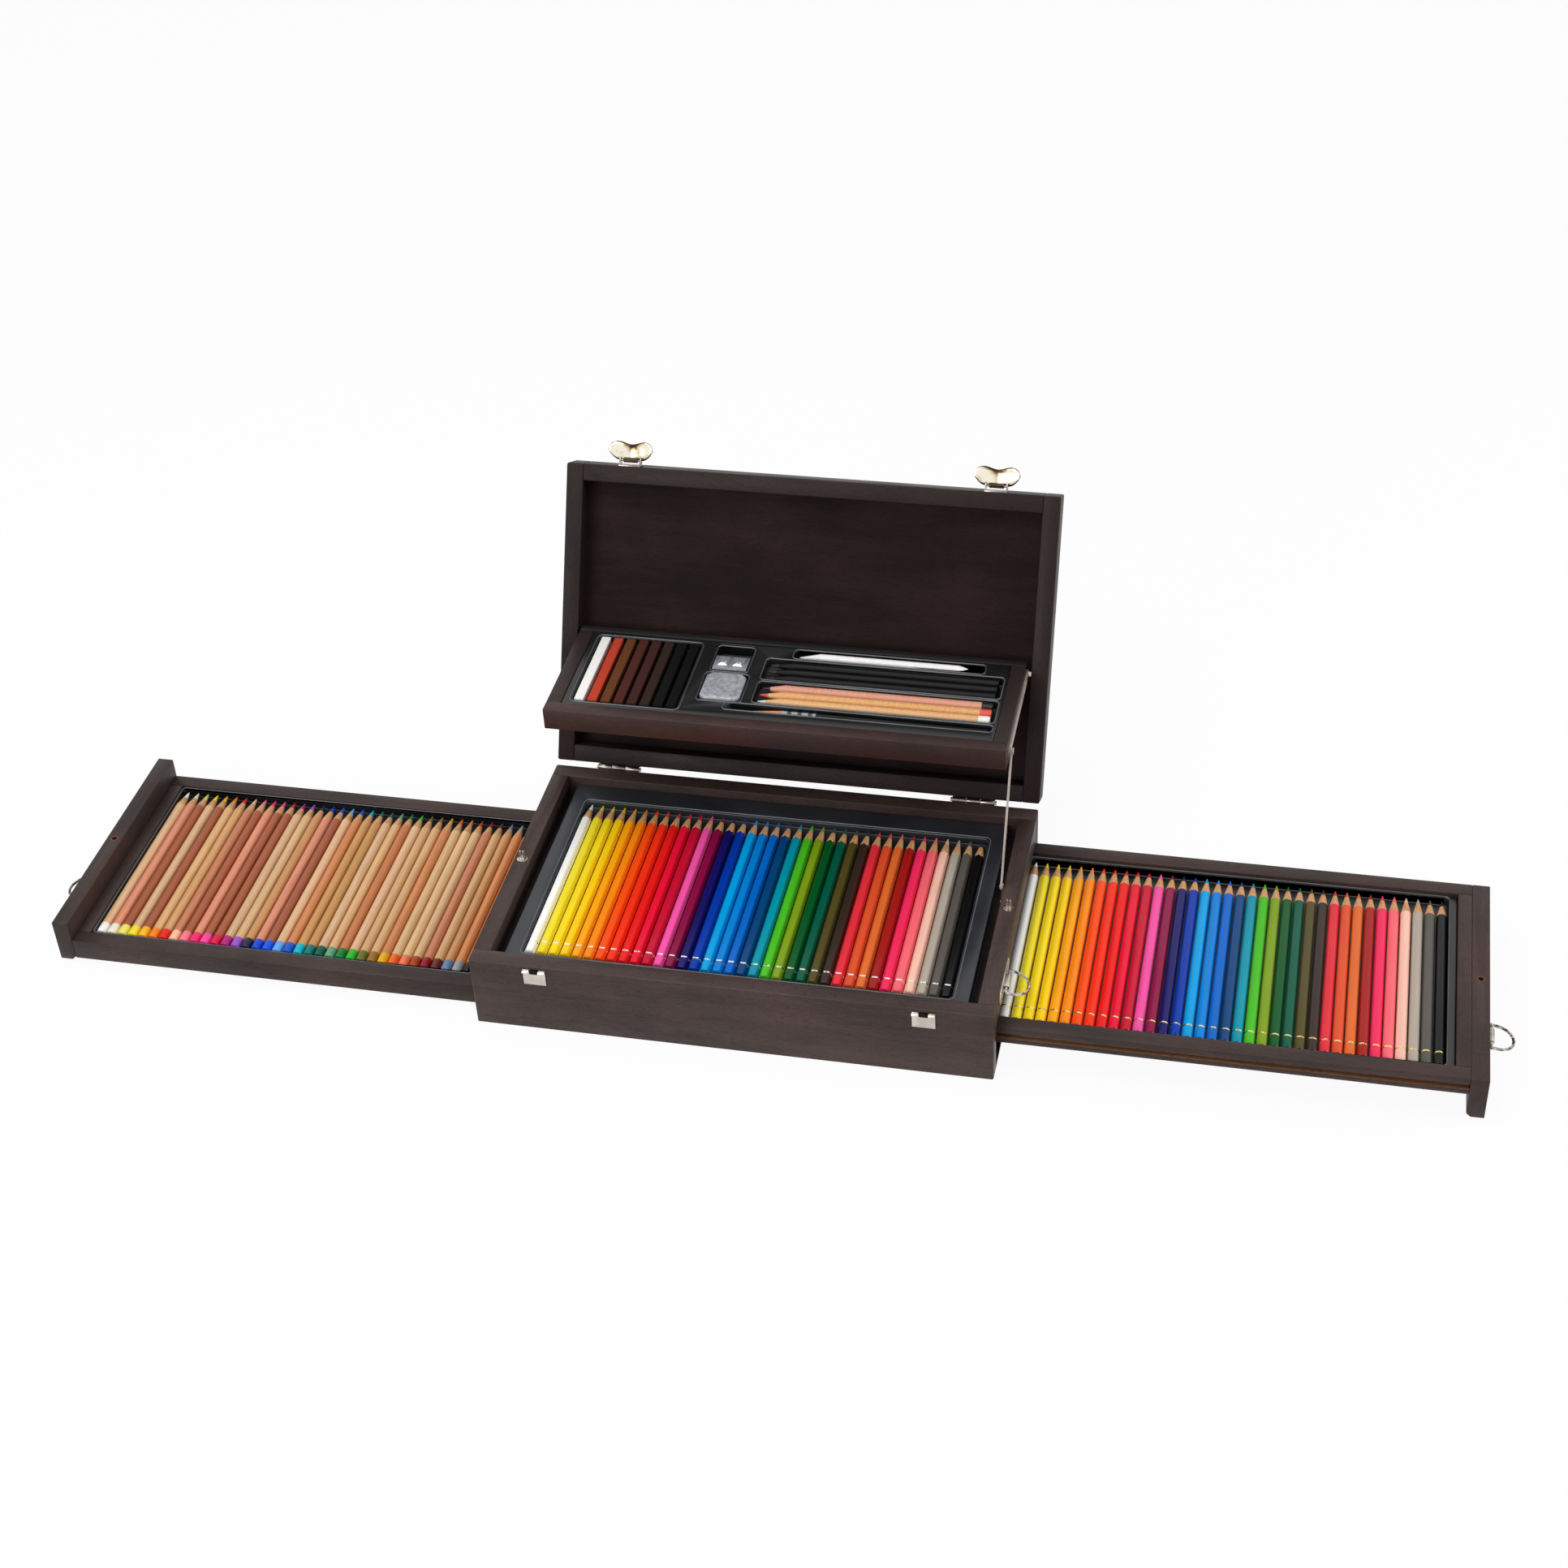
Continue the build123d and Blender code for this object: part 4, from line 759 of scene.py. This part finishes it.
# ------------------------------------------------------------------------------------------------
# Drawers. Each is a frame of stained rails round a formed insert, closed by a fascia that carries
# a ring pull. The right one runs on grooves in its side rails, the left one on its bottom edge. The
# grooves and the rim of the pin's hole show the browner wood below the stain.
drawer_stain = ("41332f", "2b2220", "150f0e")
drawer_wood = stained_limba("limba_stained_drawer_rails", grain_x, drawer_stain)
drawer_wood_short = stained_limba("limba_stained_drawer_ends", grain_y, drawer_stain)
groove_wood = stained_limba("limba_bare_drawer_groove", grain_x, ("8a6648", "66472f", "2c1d13"))
bored_wood = stained_limba("limba_bored_edge", grain_x, ("8a5034", "663622", "3a2018"))
drawer_sheet = formed_sheet("polystyrene_sheet_drawers", ("0e1012", "17191b"), 0.32)
# The beads are a paler grey than the sheet: a painted highlight along their crests.
drawer_crest_painted_highlight = formed_sheet("polystyrene_sheet_drawer_crest_painted_highlight", ("34373a", "4c5054"), 0.28)
groove_low, groove_high, groove_in, groove_out = 28.2 * MM, 33.2 * MM, 96 * MM, 102.85 * MM
pin_hole_x, bored_radius, bored_rim, bored_up = 518.75 * MM, 2.9 * MM, 0.8 * MM, 0.04 * MM
row_margin_x, row_margin_y, drawer_bead_gap = 0.8 * MM, 1.5 * MM, 1.1 * MM
for side in ("right_drawer", "left_drawer"):
    rails = eased(side + "_side_rails", arris, drawer_wood)
    rails.data.materials.append(groove_wood)
    for face in rails.data.polygons:
        spot = face.center
        inside = groove_low < spot.z < groove_high and groove_in < abs(spot.y) < groove_out
        face.material_index = 1 if inside and side == "right_drawer" else 0
    eased(side + "_end_rails", arris, drawer_wood_short)
    eased(side + "_fascia", arris, drawer_wood_short)
    low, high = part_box(side + "_fascia")
    work = bmesh.new()
    rim = bmesh.ops.create_circle(work, cap_ends=True, segments=32, radius=bored_radius)["verts"]
    bmesh.ops.translate(work, verts=rim, vec=(math.copysign(pin_hole_x, low[0]), 0, high[2] + bored_up))
    hollowed(work, bored_rim)
    place(side + "_bored_edge", work, [bored_wood], body_of_node[side + "_fascia"])
    dress(side + "_floor", wood_panel)
    eased(side + "_insert", small_fold, drawer_sheet, segments=3)
    low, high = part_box(side + "_pencils")
    pocket = (low[0] - row_margin_x, high[0] + row_margin_x, low[1] - row_margin_y, high[1] + row_margin_y)
    bead(side + "_insert_bead", pocket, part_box(side + "_insert")[1][2], drawer_crest_painted_highlight,
         body_of_node[side + "_insert"], gap=drawer_bead_gap)
    eased(side + "_ring_plate", metal_edge, nickel_plate)
    dress(side + "_ring", nickel_wire)

# ------------------------------------------------------------------------------------------------
# Pencils of the right drawer. Thirty-six round cedar pencils in the same colours, with a gold foil
# band above the dipped end.
foil_gold = foil("foil_gold_band", "3e3216", "f0dc96", 0.24)
lead_round = pencil_length - point_length * (lead_radius - core_radius) / (round_radius - core_radius)
round_butt = (
    (0.0, 0.62, coloured, 0), (0.4 * MM, 0.88, coloured, 0), (1.2 * MM, 0.97, coloured, 0),
    (2.4 * MM, 1.0, coloured, 0))
round_pencil = turned_pencil(16, round_radius * MM, None, round_butt + (
    (11.0 * MM, 1.0, coloured, 0), (11.5 * MM, 1.005, band, 0), (12.3 * MM, 1.0, band, 0),
    (point_start, 0.99, coloured, 0), (lead_round, lead_radius / round_radius, cut, 0),
    (pencil_tip, tip_radius / round_radius, pigment, 0)))
first, pitch, height, start = row_place("right_drawer_pencils", round_radius * MM, len(artist_colours))
lay_row("right_drawer_pencils_lacquered", round_pencil, artist_colours, plain_wood, first, pitch, height,
        start, [paint_lacquer, cedar_cut, lead_colour, foil_gold], "drawer_right", "right_drawer_pencils")

# ------------------------------------------------------------------------------------------------
# Pencils of the left drawer. Thirty-six round pastel pencils of bare cedar, each a little different
# in tone, with only the end dipped in the colour of its lead.
pastel_colours = (
    "f9f7f2 f4ecd8 ebe26a f8e02c f8b51e f58214 e41f14 f6bd9c f47a8c ec2a6e f4489e d80f48 b4207a 9a56c8 "
    "12223e 0a46c8 1856dc 62a8f2 1256c4 08b4c6 06746a 055a42 62a07c 067a38 2eb62e 666e28 986c26 eaae14 "
    "ea6a24 f27a56 a84018 8e1020 66241a 6a84a8 969ca2 0e0e10"
).split()
random.seed(11)
cedar_shades = "ecc08a e6b47c e0a86c d89a5e de8c50 cc7a42 b45c30 e49270 ebbd90 a8542c d69c58 d4845a".split()
wood_tones = []
for _ in pastel_colours:
    light = random.uniform(0.9, 1.04)
    wood_tones.append(tuple(light * part for part in linear(random.choice(cedar_shades))[:3]) + (1,))
cedar_barrel = cedar("cedar_bare_barrel", 0.42)
pastel_pencil = turned_pencil(16, round_radius * MM, None, round_butt + (
    (9.6 * MM, 1.0, coloured, 0), (9.7 * MM, 0.988, band, 0), (point_start, 0.988, band, 0),
    (pencil_length - 8.2 * MM, 2.0 / round_radius, cut, 0),
    (pencil_tip, core_radius / round_radius, pigment, 0)))
first, pitch, height, start = row_place("left_drawer_pencils", round_radius * MM, len(pastel_colours))
lay_row("left_drawer_pencils_bare", pastel_pencil, pastel_colours, wood_tones, first, pitch, height, start,
        [paint_lacquer, cedar_cut, lead_colour, cedar_barrel], "drawer_left", "left_drawer_pencils")

# ------------------------------------------------------------------------------------------------
# Studio. A white floor under a white surround, one wide soft lamp above, one at the front left and
# one low at the right, and the camera where the photograph was taken.
scene = bpy.context.scene
scene.view_settings.view_transform = "Standard"

floor_finish, tree, shader = finish_of("studio_floor_white", 0.9)
shader.inputs["Base Color"].default_value = linear("f2f2f2")
floor_glow = 0.94       # how much of the floor is plain white to the camera; the rest keeps the shadow
seen = add(tree, "ShaderNodeLightPath")
glow = add(tree, "ShaderNodeEmission", {"Color": linear("ffffff"), "Strength": 1.0})
some = add(tree, "ShaderNodeMath", {0: (seen, "Is Camera Ray"), 1: (seen, "Is Glossy Ray")},
           operation="MAXIMUM")
some = add(tree, "ShaderNodeMath", {0: (some, 0), 1: floor_glow}, operation="MULTIPLY")
blend = add(tree, "ShaderNodeMixShader", {0: (some, 0), 1: (shader, 0), 2: (glow, 0)})
tree.links.new(blend.outputs[0], tree.nodes["Material Output"].inputs[0])
work = bmesh.new()
bmesh.ops.create_grid(work, x_segments=1, y_segments=1, size=12)
mesh = bpy.data.meshes.new("studio_floor")
work.to_mesh(mesh)
work.free()
floor = bpy.data.objects.new("studio_floor", mesh)
mesh.materials.append(floor_finish)
scene.collection.objects.link(floor)

world = bpy.data.worlds.new("studio_surround")
scene.world = world
world.use_nodes = True
tree = world.node_tree
tree.nodes.clear()
surround_light = 0.45
seen = add(tree, "ShaderNodeLightPath")
direct = add(tree, "ShaderNodeMath", {0: (seen, "Is Camera Ray"), 1: (seen, "Is Glossy Ray")},
             operation="MAXIMUM")
direct = add(tree, "ShaderNodeMath", {0: (direct, 0), 1: (seen, "Is Transmission Ray")}, operation="MAXIMUM")
fill = add(tree, "ShaderNodeBackground", {"Color": linear("ffffff"), "Strength": surround_light})
white = add(tree, "ShaderNodeBackground", {"Color": linear("ffffff"), "Strength": 1.0})
both = add(tree, "ShaderNodeMixShader", {0: (direct, 0), 1: (fill, 0), 2: (white, 0)})
add(tree, "ShaderNodeOutputWorld", {0: (both, 0)})


def lamp(name, spot, target, size, power):
    """A soft box lamp that faces a point of the object."""
    data = bpy.data.lights.new(name, "AREA")
    data.shape, data.size, data.size_y, data.energy = "RECTANGLE", size[0], size[1], power
    box = bpy.data.objects.new(name, data)
    box.location = spot
    box.rotation_euler = (Vector(target) - Vector(spot)).to_track_quat("-Z", "Y").to_euler()
    scene.collection.objects.link(box)


lamp("softbox_top", (-0.4, -0.3, 1.9), (0, 0, 0.1), (1.8, 1.2), 19)
lamp("softbox_front", (-1.2, -2.0, 1.0), (0, 0, 0.1), (1.2, 0.8), 17)
lamp("softbox_right", (2.2, 0.3, 0.7), (0.1, 0, 0.1), (0.8, 0.8), 18)

yaw, pitch, roll = 0.2457, 0.6607, -0.0594
camera_place = (0.37764, -1.41854, 1.29146)
focal_pixels, photo_pixels, sensor = 3199.0, 1932, 36
forward = Vector((-math.sin(yaw) * math.cos(pitch), math.cos(yaw) * math.cos(pitch), -math.sin(pitch)))
level = Vector((math.cos(yaw), math.sin(yaw), 0))
upward = level.cross(forward)
right = math.cos(roll) * level + math.sin(roll) * upward
up = math.cos(roll) * upward - math.sin(roll) * level
view = bpy.data.cameras.new("photograph_camera")
view.sensor_width = sensor
view.lens = focal_pixels / photo_pixels * sensor
camera = bpy.data.objects.new("photograph_camera", view)
turn = Matrix((right, up, -forward)).transposed().to_4x4()
camera.matrix_world = Matrix.Translation(camera_place) @ turn
scene.collection.objects.link(camera)
scene.camera = camera
